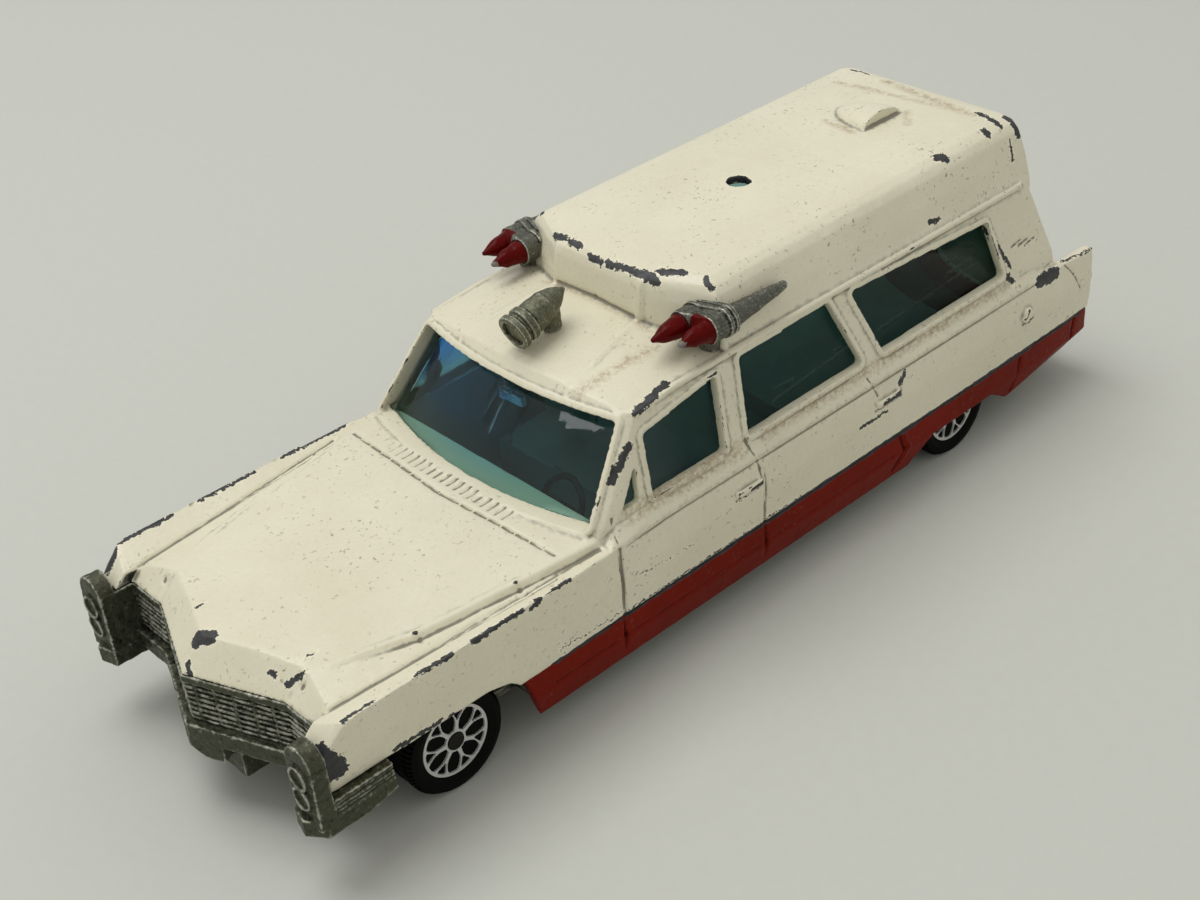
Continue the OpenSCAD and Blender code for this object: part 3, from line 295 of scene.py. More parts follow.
# Rusty stains along the belt, on the roof and around the scoop, in millimetres: from, to, half width
STAINS = [
    (23.0, 22.6, 25.4, 2.0, 22.8, 25.0, 1.3), (-2.0, 22.8, 24.9, -56.0, 22.6, 24.7, 0.9),
    (24.0, 23.9, 22.6, -60.0, 23.7, 22.3, 0.35), (20.0, 12.0, 38.0, 8.0, 13.5, 40.0, 0.8),
    (30.0, -8.0, 24.5, 29.0, 12.0, 24.5, 0.5), (-60.0, 10.0, 47.5, -62.0, -6.0, 47.4, 1.0),
    (6.2, -11.0, 40.6, 6.2, 11.0, 40.6, 0.5), (-57.0, -12.0, 47.3, -60.0, 12.0, 47.3, 0.6),
    (-45.1, -3.6, 47.4, -44.4, 2.0, 47.4, 0.7), (-54.9, 3.6, 47.5, -51.4, 6.5, 47.4, 0.6),
]

# Dark lines at the lower edge, handles, cap, gutters and roof hole, partly painted shadow in the gap between
# castings and on the shaded sides of handles and cap, partly worn bare metal, in millimetres: from, to, half
# width
SHELL_SHADE_AND_WEAR_LINES = [
    (26.0, 23.9, 11.6, -8.0, 23.9, 11.6, 0.42), (-8.0, 23.9, 11.6, -76.0, 23.7, 11.6, 0.50),
    (38.5, 24.0, 11.6, 26.0, 23.9, 11.6, 0.36), (26.0, -23.9, 11.6, -76.0, -23.7, 11.6, 0.42),
    (2.2, 24.5, 19.1, -0.4, 24.5, 19.1, 0.40), (-0.5, 24.5, 19.1, -0.5, 24.5, 20.0, 0.25),
    (-25.2, 24.5, 19.1, -29.0, 24.5, 19.1, 0.42), (-29.2, 24.5, 19.1, -29.2, 24.5, 20.0, 0.26),
    (-57.9, 24.6, 18.0, -58.6, 24.7, 18.2, 0.24), (-58.7, 24.7, 18.3, -59.1, 24.7, 19.2, 0.26),
    (15.0, 20.6, 36.4, 3.0, 20.4, 36.6, 0.10), (-28.0, 20.6, 36.2, -40.0, 20.6, 36.2, 0.12),
    (-22.484, 0.0, 46.0, -22.484, 0.0, 47.3, 1.80),
]
FAR_OFF = 9.0


def nearest_mark(tree, place, marks):
    """Distance in millimetres from the edge of the nearest mark, less than zero inside it."""
    nearest = FAR_OFF
    for mark in marks:
        inputs = {"Place": place, "From": mark[0:3], "To": mark[3:6], "Reach": mark[6], "Nearest": nearest}
        nearest = use_group(tree, paint_chip, inputs)[0]
    return nearest


def new_material(name):
    material = bpy.data.materials.new(name)
    material.use_nodes = True
    tree = material.node_tree
    shader = tree.nodes["Principled BSDF"]
    coords = tree.nodes.new("ShaderNodeTexCoord").outputs["Object"]
    place = vector(tree, "MULTIPLY", coords, (1 / MM, 1 / MM, 1 / MM))
    return material, tree, shader, place


def feed(tree, shader, **sockets):
    for name, value in sockets.items():
        tree.links.new(value, shader.inputs[name.replace("_", " ")])


def bump(tree, shader, height, strength, depth):
    node = put(tree, "ShaderNodeBump", {"Height": height, "Strength": strength, "Distance": depth})
    tree.links.new(node.outputs[0], shader.inputs["Normal"])


ZINC_DARK, ZINC_LIGHT = (0.010, 0.010, 0.007), (0.46, 0.46, 0.39)
OLIVE = (0.055, 0.057, 0.030)
CHIP_ZINC = (0.0935, 0.0952, 0.102)
RUST, DIRT, DUST = (0.34, 0.22, 0.11), (0.13, 0.10, 0.065), (0.30, 0.29, 0.26)
# Cells per millimetre and size of the large, middle and small specks
SPECK_KINDS = ((0.45, 0.13), (1.1, 0.30), (2.3, 0.55))


def enamel(name, light, deep, chips, stains, shade_and_wear_lines, edge_start, sheen):
    """Thick old enamel on cast zinc, with specks, painted shade and grime in the hollows, painted shadow
    lines with wear at the seams, and chips down to the metal.
    """
    material, tree, shader, place = new_material(name)
    shader.inputs["Specular IOR Level"].default_value = sheen
    curve = put(tree, "ShaderNodeAttribute", attribute_name="relief").outputs["Fac"]
    shaken = shaken_place(tree, place, reach=1.8, scale=1.3, rough=0.65)
    patches = ramp(tree, noise(tree, place, scale=0.06, detail=4.0, rough=0.6), 0.35, 0.65)
    colour = blend_colour(tree, patches, light, deep)
    coarse = ramp(tree, noise(tree, place, scale=1.7, detail=5.0, rough=0.7), 0.3, 0.75)
    colour = blend_colour(tree, calc(tree, "MULTIPLY", coarse, 0.16), colour, shade(deep, 0.55))
    wear = use_group(tree, worn_edges, {
        "Place": place, "Curve": curve, "Start": edge_start, "Broken": 0.13, "Scale": 0.3
    })
    # Painted shade with grime: the hollows darken toward a deep shade of the paint
    colour = blend_colour(tree, calc(tree, "MULTIPLY", wear["Hollow_shade"], 0.8), colour, shade(deep, 0.18))
    if stains:
        stain = ramp(tree, nearest_mark(tree, shaken, stains), 0.4, -0.6)
        patchy = ramp(tree, noise(tree, place, scale=1.3, detail=6.0, rough=0.75), 0.40, 0.66, 0.0, 0.85)
        colour = blend_colour(tree, calc(tree, "MULTIPLY", stain, patchy), colour, RUST)
    drifts = ramp(tree, noise(tree, place, scale=0.09), 0.42, 0.62, 0.06, 0.6)
    for scale, size in SPECK_KINDS:
        specks = use_group(tree, dirt_specks, {"Place": shaken, "Scale": scale, "Size": size})["Specks"]
        colour = blend_colour(tree, calc(tree, "MULTIPLY", specks, drifts), colour, DIRT)
    nearest = nearest_mark(tree, shaken, chips)
    # Painted shadow: dark lines along the gap between castings and on the shaded sides of handles and cap,
    # drawn as bare metal together with real wear
    if shade_and_wear_lines:
        jitter = ramp(tree, noise(tree, place, scale=0.45, detail=4.0, rough=0.65), 0.35, 0.65, 0.16, -0.12)
        shade_and_wear_line = calc(tree, "ADD", nearest_mark(tree, place, shade_and_wear_lines), jitter)
        nearest = calc(tree, "MINIMUM", nearest, shade_and_wear_line)
    lip = ramp(tree, nearest, 0.28, 0.08, 0.0, 0.6)
    colour = blend_colour(tree, lip, colour, shade(light, 1.15))
    bare = calc(tree, "MAXIMUM", ramp(tree, nearest, 0.03, -0.03), wear["Edge"])
    metal = blend_colour(tree, noise(tree, place, scale=0.9, detail=4.0), ZINC_DARK, CHIP_ZINC)
    colour = blend_colour(tree, bare, colour, metal)
    dull = calc(tree, "ADD", ramp(tree, coarse, 0.0, 1.0, 0.30, 0.42), calc(tree, "MULTIPLY", bare, 0.18))
    feed(tree, shader, Base_Color=colour, Metallic=calc(tree, "MULTIPLY", bare, 0.35), Roughness=dull)
    peel = calc(tree, "MULTIPLY", noise(tree, place, scale=1.1), 0.25)
    bump(tree, shader, calc(tree, "SUBTRACT", peel, bare), strength=0.35, depth=0.12 * MM)
    return material


def bare_casting(name, mid, olive, gain):
    """Dull unpainted zinc, dark in the hollows and rubbed bright on the edges."""
    material, tree, shader, place = new_material(name)
    curve = put(tree, "ShaderNodeAttribute", attribute_name="relief").outputs["Fac"]
    mottle = noise(tree, place, scale=0.8, detail=5.0, rough=0.65)
    uneven = calc(tree, "MULTIPLY", calc(tree, "SUBTRACT", mottle, 0.5), 0.05)
    level = calc(tree, "ADD", calc(tree, "MULTIPLY", curve, gain), uneven)
    colour = blend_colour(tree, ramp(tree, level, -0.024, 0.0), ZINC_DARK, mid)
    colour = blend_colour(tree, ramp(tree, level, 0.010, 0.034), colour, ZINC_LIGHT)
    colour = blend_colour(tree, ramp(tree, mottle, 0.45, 0.7, 0.0, olive), colour, OLIVE)
    pits = use_group(tree, dirt_specks, {"Place": place, "Scale": 0.9, "Size": 0.3})["Specks"]
    colour = blend_colour(tree, calc(tree, "MULTIPLY", pits, 0.6), colour, ZINC_DARK)
    feed(
        tree, shader, Base_Color=colour, Metallic=ramp(tree, mottle, 0.3, 0.7, 0.8, 0.6),
        Roughness=ramp(tree, mottle, 0.3, 0.7, 0.38, 0.56),
    )
    bump(tree, shader, noise(tree, place, scale=1.6, detail=5.0, rough=0.65), strength=0.55, depth=0.25 * MM)
    return material


CONE_DEEP, CONE_RED, CONE_BARE = (0.060, 0.001, 0.001), (0.125, 0.003, 0.002), (0.20, 0.19, 0.17)


def red_cone(name, worn):
    """Glossy dark red paint on the flasher cones, rubbed off at the worn tips."""
    material, tree, shader, place = new_material(name)
    shader.inputs["Specular IOR Level"].default_value = 0.07
    colour = blend_colour(tree, noise(tree, place, scale=0.5), CONE_DEEP, CONE_RED)
    shaken = shaken_place(tree, place, reach=1.6, scale=0.9, rough=0.55)
    bare = ramp(tree, nearest_mark(tree, shaken, worn), 0.05, -0.05)
    colour = blend_colour(tree, bare, colour, CONE_BARE)
    feed(tree, shader, Base_Color=colour, Roughness=ramp(tree, bare, 0.0, 1.0, 0.22, 0.45))
    height = calc(tree, "SUBTRACT", noise(tree, place, scale=1.5), bare)
    bump(tree, shader, height, strength=0.2, depth=0.1 * MM)
    return material


SCREEN_BLUE, SCREEN_PALE, RUBBED = (0.19, 0.50, 0.82), (0.45, 0.60, 0.52), (0.93, 0.97, 0.95)
# Stretches, in millimetres, over which the windscreen begins, turns blue to the right and pale at its foot
SCREEN_X, BLUE_Y, BLUE_Z, PALE_Z = (10.0, 16.0), (7.0, -9.0), (26.0, 30.0), (29.5, 25.5)
# Pale rubbed lines on the side panes, in millimetres: from, to, half width
PANE_LINES = [
    (x0, side * y0, z0, x1, side * y1, z1, reach) for side in (1, -1) for x0, y0, z0, x1, y1, z1, reach in (
        (-6.0, 20.8, 27.5, -21.8, 20.6, 28.7, 0.19), (-6.8, 20.5, 29.1, -10.5, 20.5, 28.9, 0.16),
        (-18.8, 20.4, 29.4, -22.0, 20.4, 29.4, 0.16), (-28.2, 20.6, 28.5, -50.5, 20.4, 29.5, 0.19),
        (-44.4, 20.2, 30.4, -50.5, 20.1, 30.8, 0.19), (-44.9, 19.9, 31.9, -50.6, 19.9, 32.1, 0.18),
    )
]


def tinted_pane(name, tint):
    """Tinted clear plastic, bluer and paler in parts of the windscreen, with rubbed lines at the sides."""
    material, tree, shader, place = new_material(name)
    haze = noise(tree, place, scale=0.25, detail=4.0, rough=0.6)
    along, across, up = put(tree, "ShaderNodeSeparateXYZ", {0: place}).outputs
    in_screen = ramp(tree, along, *SCREEN_X)
    bluer = calc(tree, "MULTIPLY", in_screen, ramp(tree, across, *BLUE_Y))
    bluer = calc(tree, "MULTIPLY", bluer, ramp(tree, up, *BLUE_Z))
    paler = calc(tree, "MULTIPLY", in_screen, ramp(tree, up, *PALE_Z))
    colour = blend_colour(tree, bluer, tint, SCREEN_BLUE)
    colour = blend_colour(tree, paler, colour, SCREEN_PALE)
    rubbed = ramp(tree, nearest_mark(tree, place, PANE_LINES), 0.03, -0.03)
    patchy = ramp(tree, noise(tree, place, scale=0.5, detail=4.0), 0.4, 0.6, 0.6, 1.0)
    rubbed = calc(tree, "MULTIPLY", rubbed, patchy)
    colour = blend_colour(tree, rubbed, colour, RUBBED)
    shader.inputs["Transmission Weight"].default_value = 1.0
    shader.inputs["IOR"].default_value = 1.06
    shader.inputs["Coat Roughness"].default_value = 0.03
    hazy = ramp(tree, haze, 0.35, 0.75, 0.02, 0.12)
    feed(
        tree, shader, Base_Color=colour, Coat_Weight=ramp(tree, in_screen, 0.0, 1.0, 0.3, 0.7),
        Roughness=calc(tree, "MAXIMUM", hazy, calc(tree, "MULTIPLY", rubbed, 0.9)),
    )
    bump(tree, shader, noise(tree, place, scale=0.12, detail=2.0), strength=0.12, depth=0.4 * MM)
    return material


def moulded(name, light, deep, rough, sheen):
    """Satin moulded plastic with a slight mottle, scuffs and dust."""
    material, tree, shader, place = new_material(name)
    shader.inputs["Specular IOR Level"].default_value = sheen
    mottle = noise(tree, place, scale=0.35, detail=4.0, rough=0.6)
    colour = blend_colour(tree, mottle, light, deep)
    dust = use_group(tree, dirt_specks, {"Place": place, "Scale": 0.9, "Size": 0.12})["Specks"]
    colour = blend_colour(tree, calc(tree, "MULTIPLY", dust, 0.12), colour, DUST)
    feed(tree, shader, Base_Color=colour, Roughness=ramp(tree, mottle, 0.3, 0.7, rough - 0.08, rough + 0.08))
    bump(tree, shader, noise(tree, place, scale=3.0), strength=0.15, depth=0.1 * MM)
    return material


PRINT_LIGHT, PRINT_DULL, PRINT_GONE = (0.72, 0.72, 0.70), (0.48, 0.48, 0.46), (0.02, 0.02, 0.02)
STEEL_LIGHT, STEEL_DARK = (0.035, 0.034, 0.031), (0.02, 0.019, 0.017)
STEEL_STREAKS = (6.0, 0.4, 6.0)
PAPER_DARK, PAPER_LIGHT = (0.555, 0.560, 0.512), (0.600, 0.605, 0.555)


def silver_print(name):
    """Thin silver print, slightly broken, on black plastic."""
    material, tree, shader, place = new_material(name)
    wear = noise(tree, place, scale=1.4, detail=5.0, rough=0.7)
    colour = blend_colour(tree, wear, PRINT_LIGHT, PRINT_DULL)
    colour = blend_colour(tree, ramp(tree, wear, 0.66, 0.69), colour, PRINT_GONE)
    feed(
        tree, shader, Base_Color=colour, Metallic=ramp(tree, wear, 0.3, 0.7, 0.35, 0.15),
        Roughness=ramp(tree, wear, 0.3, 0.7, 0.35, 0.5),
    )
    bump(tree, shader, wear, strength=0.2, depth=0.05 * MM)
    return material


def drawn_steel(name):
    """Dark drawn steel with fine streaks along the axles."""
    material, tree, shader, place = new_material(name)
    streaks = noise(tree, vector(tree, "MULTIPLY", place, STEEL_STREAKS), scale=1.0, detail=4.0)
    colour = blend_colour(tree, streaks, STEEL_LIGHT, STEEL_DARK)
    shader.inputs["Metallic"].default_value = 1.0
    feed(tree, shader, Base_Color=colour, Roughness=ramp(tree, streaks, 0.3, 0.7, 0.25, 0.45))
    return material


def paper_floor(name):
    """Pale matt paper under the part."""
    material, tree, shader, place = new_material(name)
    fibre = noise(tree, place, scale=0.5, detail=5.0, rough=0.7)
    colour = blend_colour(tree, fibre, PAPER_DARK, PAPER_LIGHT)
    shader.inputs["Specular IOR Level"].default_value = 0.2
    feed(tree, shader, Base_Color=colour, Roughness=ramp(tree, fibre, 0.3, 0.7, 0.75, 0.85))
    return material


# Materials of the part

CREAM, DEEP_CREAM = (0.80, 0.755, 0.585), (0.745, 0.70, 0.53)
RED, DEEP_RED = (0.190, 0.010, 0.003), (0.150, 0.008, 0.002)
WHITE_EDGE_START, RED_EDGE_START = 0.052, 0.058
WHITE_SHEEN, RED_SHEEN = 0.4, 0.06
# Marks on the cones, the door and the skirt, in millimetres: from, to, half width
CONE_TIPS = [(9.2, 19.2, 42.4, 7.6, 19.2, 42.4, 0.55), (10.5, -15.7, 42.6, 9.6, -15.7, 42.6, 0.45)]
DOOR_CHIPS = [(-73.0, -12.0, 13.0, -72.6, -4.0, 13.2, 0.3)]
SKIRT_CHIPS = [(40.5, 24.0, 6.0, 39.5, 24.0, 5.0, 0.3)]
# Dark line along the skirt's top edge: painted shadow of the gap under the shell, with worn bare metal
SKIRT_SHADE_AND_WEAR_LINES = [(38.0, side * 23.9, 11.5, -76.0, side * 23.7, 11.5, 0.36) for side in (1, -1)]
# Zones of the shell, each with a material of its own: lowest and highest x and z, in millimetres
BONNET_X, NOSE_X, CAB_X, ROOF_Z, END = 30, 52, -8, 36, 99
ZONES = {
    "nose": ((NOSE_X, -END), (END, END)),
    "bonnet": ((BONNET_X, -END), (NOSE_X, END)),
    "cab": ((CAB_X, -END), (BONNET_X, END)),
    "tail_side": ((-END, -END), (CAB_X, ROOF_Z)),
    "tail_roof": ((-END, ROOF_Z), (CAB_X, END)),
}
ZONE_MARGIN = 3.0


def in_zone(zone, x, z, margin=0.0):
    low, high = ZONES[zone]
    return low[0] - margin <= x < high[0] + margin and low[1] - margin <= z < high[1] + margin


def zone_marks(zone, marks):
    """The marks of which an end or the middle is in the zone or close to it."""
    picked = []
    for mark in marks:
        start, end = (mark[0], mark[2]), (mark[3], mark[5])
        middle = ((start[0] + end[0]) / 2, (start[1] + end[1]) / 2)
        if any(in_zone(zone, x, z, ZONE_MARGIN) for x, z in (start, end, middle)):
            picked.append(mark)
    return picked


shell_enamels = [
    enamel(
        "white_enamel_" + zone, CREAM, DEEP_CREAM, zone_marks(zone, SHELL_CHIPS), zone_marks(zone, STAINS),
        zone_marks(zone, SHELL_SHADE_AND_WEAR_LINES), WHITE_EDGE_START, WHITE_SHEEN,
    )
    for zone in ZONES
]
door_enamel = enamel(
    "white_enamel_door", CREAM, DEEP_CREAM, DOOR_CHIPS, [], [], WHITE_EDGE_START, WHITE_SHEEN
)
red_enamel = enamel("red_enamel", RED, DEEP_RED, SKIRT_CHIPS, [], SKIRT_SHADE_AND_WEAR_LINES, RED_EDGE_START, RED_SHEEN)
bare_zinc = bare_casting("bare_zinc", mid=(0.072, 0.075, 0.047), olive=0.5, gain=1.0)
# Near-black zinc for the faces inside the nose: painted shade for the dark space under the bonnet
inner_zinc_painted_shade = bare_casting("inner_zinc_painted_shade", mid=(0.02, 0.02, 0.018), olive=0.3, gain=1.0)
siren_zinc = bare_casting("siren_zinc", mid=(0.145, 0.145, 0.098), olive=0.4, gain=1.9)
flasher_zinc = bare_casting("flasher_zinc", mid=(0.12, 0.122, 0.098), olive=0.2, gain=1.9)
flasher_red = red_cone("flasher_red", CONE_TIPS)
tinted_glazing = tinted_pane("tinted_glazing", tint=(0.28, 0.50, 0.48))
interior_plastic = moulded(
    "interior_plastic", light=(0.36, 0.46, 0.44), deep=(0.28, 0.37, 0.35), rough=0.5, sheen=0.1
)
dash_plastic = moulded(
    "dash_plastic", light=(0.95, 0.97, 0.92), deep=(0.88, 0.92, 0.85), rough=0.5, sheen=0.2
)
mirror_blue = moulded("mirror_blue", light=(0.62, 0.86, 1.0), deep=(0.5, 0.76, 0.96), rough=0.3, sheen=0.4)
dark_plastic = moulded(
    "dark_plastic", light=(0.02, 0.022, 0.025), deep=(0.012, 0.014, 0.016), rough=0.45, sheen=0.2
)
black_plastic = moulded(
    "black_plastic", light=(0.003, 0.003, 0.003), deep=(0.005, 0.005, 0.0045), rough=0.6, sheen=0.05
)
hub_silver = silver_print("hub_silver")
steel = drawn_steel("steel")

# Mesh helpers

WELD = 0.001 * MM
SMOOTHING = 0.5
RELIEF_ROUNDS = 8
GRAIN_MIDDLE = 0.5
# How many half widths to each side a pressed line is worked out
LINE_REACH = 3
cast_grain = bpy.data.textures.new("cast_grain", "CLOUDS")
cast_grain.noise_scale = 1.4 * MM
cast_grain.noise_depth = 3


def merged_copy(node):
    """A copy of a node's mesh with its doubled points merged."""
    shape = bmesh.new()
    shape.from_mesh(nodes[node].data)
    bmesh.ops.remove_doubles(shape, verts=shape.verts, dist=WELD)
    mesh = bpy.data.meshes.new(node + "_copy")
    shape.to_mesh(mesh)
    shape.free()
    return mesh


def settled(mesh, name, kind, **settings):
    """The mesh after one modifier."""
    mesh.materials.clear()
    holder = bpy.data.objects.new(name, mesh)
    scene.collection.objects.link(holder)
    modifier = holder.modifiers.new(name, kind)
    for key, value in settings.items():
        setattr(modifier, key, value)
    result = bpy.data.meshes.new_from_object(holder.evaluated_get(bpy.context.evaluated_depsgraph_get()))
    bpy.data.objects.remove(holder)
    return result


def mark_relief(mesh, flatter):
    """Keeps, for each point, how far it stands out of the smoothed surface, in millimetres."""
    count = len(mesh.vertices)
    own, smooth, out = (np.empty(3 * count, np.float32) for _ in range(3))
    mesh.vertices.foreach_get("co", own)
    flatter.vertices.foreach_get("co", smooth)
    flatter.vertex_normals.foreach_get("vector", out)
    height = ((own - smooth) * out).reshape(-1, 3).sum(1) / MM
    relief = mesh.attributes.new("relief", "FLOAT", "POINT")
    relief.data.foreach_set("value", height.astype(np.float32))


def press_lines(mesh, lines):
    """Presses thin grooves, or raises thin ridges, along lines given in millimetres."""
    if not lines:
        return
    places, out = (np.empty(3 * len(mesh.vertices), np.float32) for _ in range(2))
    mesh.vertices.foreach_get("co", places)
    mesh.vertex_normals.foreach_get("vector", out)
    places = places.reshape(-1, 3) / MM
    out = out.reshape(-1, 3)
    shift = np.zeros(len(places), np.float32)
    for line in lines:
        start, end, (half_width, height) = np.array(line[0:3]), np.array(line[3:6]), line[6:8]
        reach = LINE_REACH * half_width
        low, high = np.minimum(start, end) - reach, np.maximum(start, end) + reach
        near = np.flatnonzero(((places > low) & (places < high)).all(1))
        off, run = places[near] - start, end - start
        share = np.clip(off @ run / (run @ run), 0, 1)
        away = np.linalg.norm(off - share[:, None] * run, axis=1)
        shift[near] += height * np.exp(-((away / half_width) ** 2))
    mesh.vertices.foreach_set("co", ((places + shift[:, None] * out) * MM).astype(np.float32).ravel())
    mesh.update()


def keep_in_box(mesh):
    """Holds the roughened surface inside the box of the whole object."""
    places = np.empty(3 * len(mesh.vertices), np.float32)
    mesh.vertices.foreach_get("co", places)
    mesh.vertices.foreach_set("co", np.clip(places.reshape(-1, 3), *np.array(cad_box, np.float32)).ravel())
    mesh.update()


def soft_cast(node, voxel, rounds, most, rough, lines=()):
    """A copy of a node with the soft edges of a painted or raw casting."""
    mesh = settled(merged_copy(node), "fill", "REMESH", mode="VOXEL", voxel_size=voxel * MM)
    mesh = settled(mesh, "soften", "SMOOTH", factor=SMOOTHING, iterations=rounds)
    mesh = settled(
        mesh, "roughen", "DISPLACE", texture=cast_grain, texture_coords="LOCAL", strength=rough * MM,
        mid_level=GRAIN_MIDDLE,
    )
    press_lines(mesh, lines)
    flatter = settled(mesh.copy(), "flatten", "SMOOTH", factor=SMOOTHING, iterations=RELIEF_ROUNDS)
    mark_relief(mesh, flatter)
    share = most / (2 * len(mesh.polygons))
    if share < 1:
        mesh = settled(mesh, "thin", "DECIMATE", ratio=share, use_collapse_triangulate=True)
    keep_in_box(mesh)
    mesh.polygons.foreach_set("use_smooth", [True] * len(mesh.polygons))
    return mesh


def add_piece(name, mesh, materials, body, node):
    """A visible piece that rides on a body and stands for a CAD node."""
    for material in materials:
        mesh.materials.append(material)
    mesh.name = name
    piece = bpy.data.objects.new(name, mesh)
    scene.collection.objects.link(piece)
    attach(piece, body)
    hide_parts(node)


# Lines pressed into the castings, in millimetres: from, to, half width, height


def both_sides(path, half_width, height):
    """The lines along a path on the left side, and the same on the right."""
    lines = []
    for a, b in zip(path, path[1:]):
        for side in (1, -1):
            lines.append((a[0], side * a[1], a[2], b[0], side * b[1], b[2], half_width, height))
    return lines


SHELL_LINES = (
    both_sides([(68.4, 15.0, 22.1), (54.3, 19.6, 23.1), (40.3, 21.6, 23.2), (28.6, 23.4, 23.6)], 0.32, -0.26)
    + both_sides([(68.8, 14.0, 22.8), (54.3, 18.7, 23.5), (40.3, 20.7, 23.7), (28.6, 22.5, 24.2)], 0.5, 0.30)
    + both_sides([(68.9, 20.4, 22.0), (35.8, 23.2, 23.2)], 0.24, -0.22)
    + both_sides([(24.8, 23.9, 22.3), (-62.0, 23.6, 22.1)], 0.24, -0.16)
    + both_sides([(25.4, 22.5, 26.0), (26.3, 24.2, 22.6), (25.6, 24.0, 12.0)], 0.26, -0.3)
    + both_sides([(1.2, 22.5, 25.7), (-0.2, 23.9, 20.8), (-0.8, 23.8, 11.7)], 0.26, -0.3)
    + both_sides([(-23.0, 23.2, 23.8), (-24.4, 23.9, 20.6)], 0.22, -0.18)
    + both_sides([(5.8, 7.9, 40.7), (15.0, 9.6, 39.2), (21.0, 10.6, 37.6)], 0.45, 0.16)
    + both_sides([(4.7, 8.1, 45.7), (5.6, 8.3, 41.1)], 0.5, 0.30)
    + both_sides([(5.7, 0.0, 41.2), (5.7, 8.0, 40.9)], 0.3, -0.18)
    + both_sides([(-69.4, 23.5, 22.3), (-71.7, 23.7, 19.8), (-73.6, 23.8, 16.7)], 0.22, -0.16)
    + both_sides([(4.8, 24.2, 18.4), (-0.6, 24.2, 18.4), (-0.8, 24.2, 19.8)], 0.22, -0.2)
    + both_sides([(-23.8, 24.2, 18.4), (-29.4, 24.2, 18.4), (-29.6, 24.2, 19.8)], 0.22, -0.2)
)
SKIRT_LINES = (
    both_sides([(-29.7, 23.9, 11.0), (-30.6, 23.8, 8.4), (-28.6, 23.5, 5.4)], 0.3, -0.28)
    + both_sides([(-30.6, 23.9, 11.0), (-31.6, 23.9, 8.6), (-30.0, 23.5, 6.2)], 0.45, 0.22)
    + both_sides([(-58.7, 23.8, 10.6), (-57.1, 23.3, 5.4)], 0.3, -0.28)
    + both_sides([(-73.1, 23.6, 11.4), (-72.1, 23.5, 7.0)], 0.25, -0.25)
    + both_sides([(38.0, 23.9, 8.4), (-28.0, 23.9, 8.4)], 0.35, -0.12)
)

# Castings with soft edges

# Piece, node, voxel in millimetres, smoothing rounds, most faces, roughness in millimetres, look, slot, body
CASTINGS = [
    ("cast_grille", "grille_bumper", 0.12, 2, 150000, 0.34, bare_zinc, "bare_zinc", "car"),
    ("cast_base", "base_plate", 0.25, 2, 50000, 0.1, bare_zinc, "bare_zinc", "car"),
    ("cast_rear_bumper", "rear_bumper", 0.14, 2, 40000, 0.25, bare_zinc, "bare_zinc", "car"),
    ("roof_siren", "siren", 0.1, 1, 60000, 0.3, siren_zinc, "bare_zinc", "car"),
    ("tail_door", "rear_door", 0.14, 2, 60000, 0.08, door_enamel, "white_enamel", "rear_door"),
]
for name, node, voxel, rounds, most, rough, material, slot, body in CASTINGS:
    add_piece(name, soft_cast(node, voxel, rounds, most, rough), [material], body, node)

skirt = soft_cast("lower_body", voxel=0.2, rounds=2, most=90000, rough=0.08, lines=SKIRT_LINES)
add_piece("red_skirt", skirt, [red_enamel], "car", "lower_body")

# Faces inside the nose get the near-black zinc, painted shade for the dark underside of the nose: ahead of
# this x, and turned up, out and forward less than this
NOSE_ROOM_X = 28.0
MOST_UP, MOST_OUT, MOST_FORWARD = 0.2, 0.3, 0.5
shell = soft_cast("body_shell", voxel=0.2, rounds=2, most=196000, rough=0.08, lines=SHELL_LINES)
for face in shell.polygons:
    middle = face.center / MM
    outward = face.normal.y * math.copysign(1, middle.y)
    turned_in = face.normal.z < MOST_UP and outward < MOST_OUT and face.normal.x < MOST_FORWARD
    zone_index = next(i for i, zone in enumerate(ZONES) if in_zone(zone, middle.x, middle.z))
    face.material_index = len(ZONES) if turned_in and middle.x > NOSE_ROOM_X else zone_index
add_piece("painted_shell", shell, shell_enamels + [inner_zinc_painted_shade], "car", "body_shell")

# Flashers: zinc housings with red cones

# Foot of the inner cone, how far the outer one stands behind it, and the line between them, in millimetres
CONE_FOOT, CONE_STEP, CONE_SPLIT_Y = 5.45, 1.3, 17.45
for side in ("left", "right"):
    node = "flasher_" + side
    mesh = soft_cast(node, voxel=0.1, rounds=1, most=60000, rough=0.26)
    for face in mesh.polygons:
        foot = CONE_FOOT - (CONE_STEP if abs(face.center.y) > CONE_SPLIT_Y * MM else 0)
        face.material_index = int(face.center.x > foot * MM)
    add_piece("flasher_pod_" + side, mesh, [flasher_zinc, flasher_red], "car", node)

# Windows

CREASE = math.radians(32)
# Boxes round the inside mirror and the dash shelf, in millimetres
MIRROR_BOX = ((20.8, -2.4, 32.0), (22.2, 2.4, 34.0))
DASH_BOX = ((25.6, -30.0, 23.4), (40.0, 30.0, 25.0))


def inside(place, box):
    return all(low * MM < v < high * MM for v, low, high in zip(place, *box))


for name, node, body in (
    ("window_moulding", "glazing", "car"), ("tail_door_pane", "rear_door_window", "rear_door")
):
    mesh = merged_copy(node)
    mesh.polygons.foreach_set("use_smooth", [True] * len(mesh.polygons))
    mesh.set_sharp_from_angle(angle=CREASE)
    for face in mesh.polygons:
        face.material_index = int(all(inside(mesh.vertices[v].co, MIRROR_BOX) for v in face.vertices))
    add_piece(name, mesh, [tinted_glazing, mirror_blue], body, node)

tub = merged_copy("interior_tub")
for face in tub.polygons:
    face.material_index = int(inside(face.center, DASH_BOX))
add_piece("cabin_tub", tub, [interior_plastic, dash_plastic], "car", "interior_tub")

# Plain nodes that keep their solids

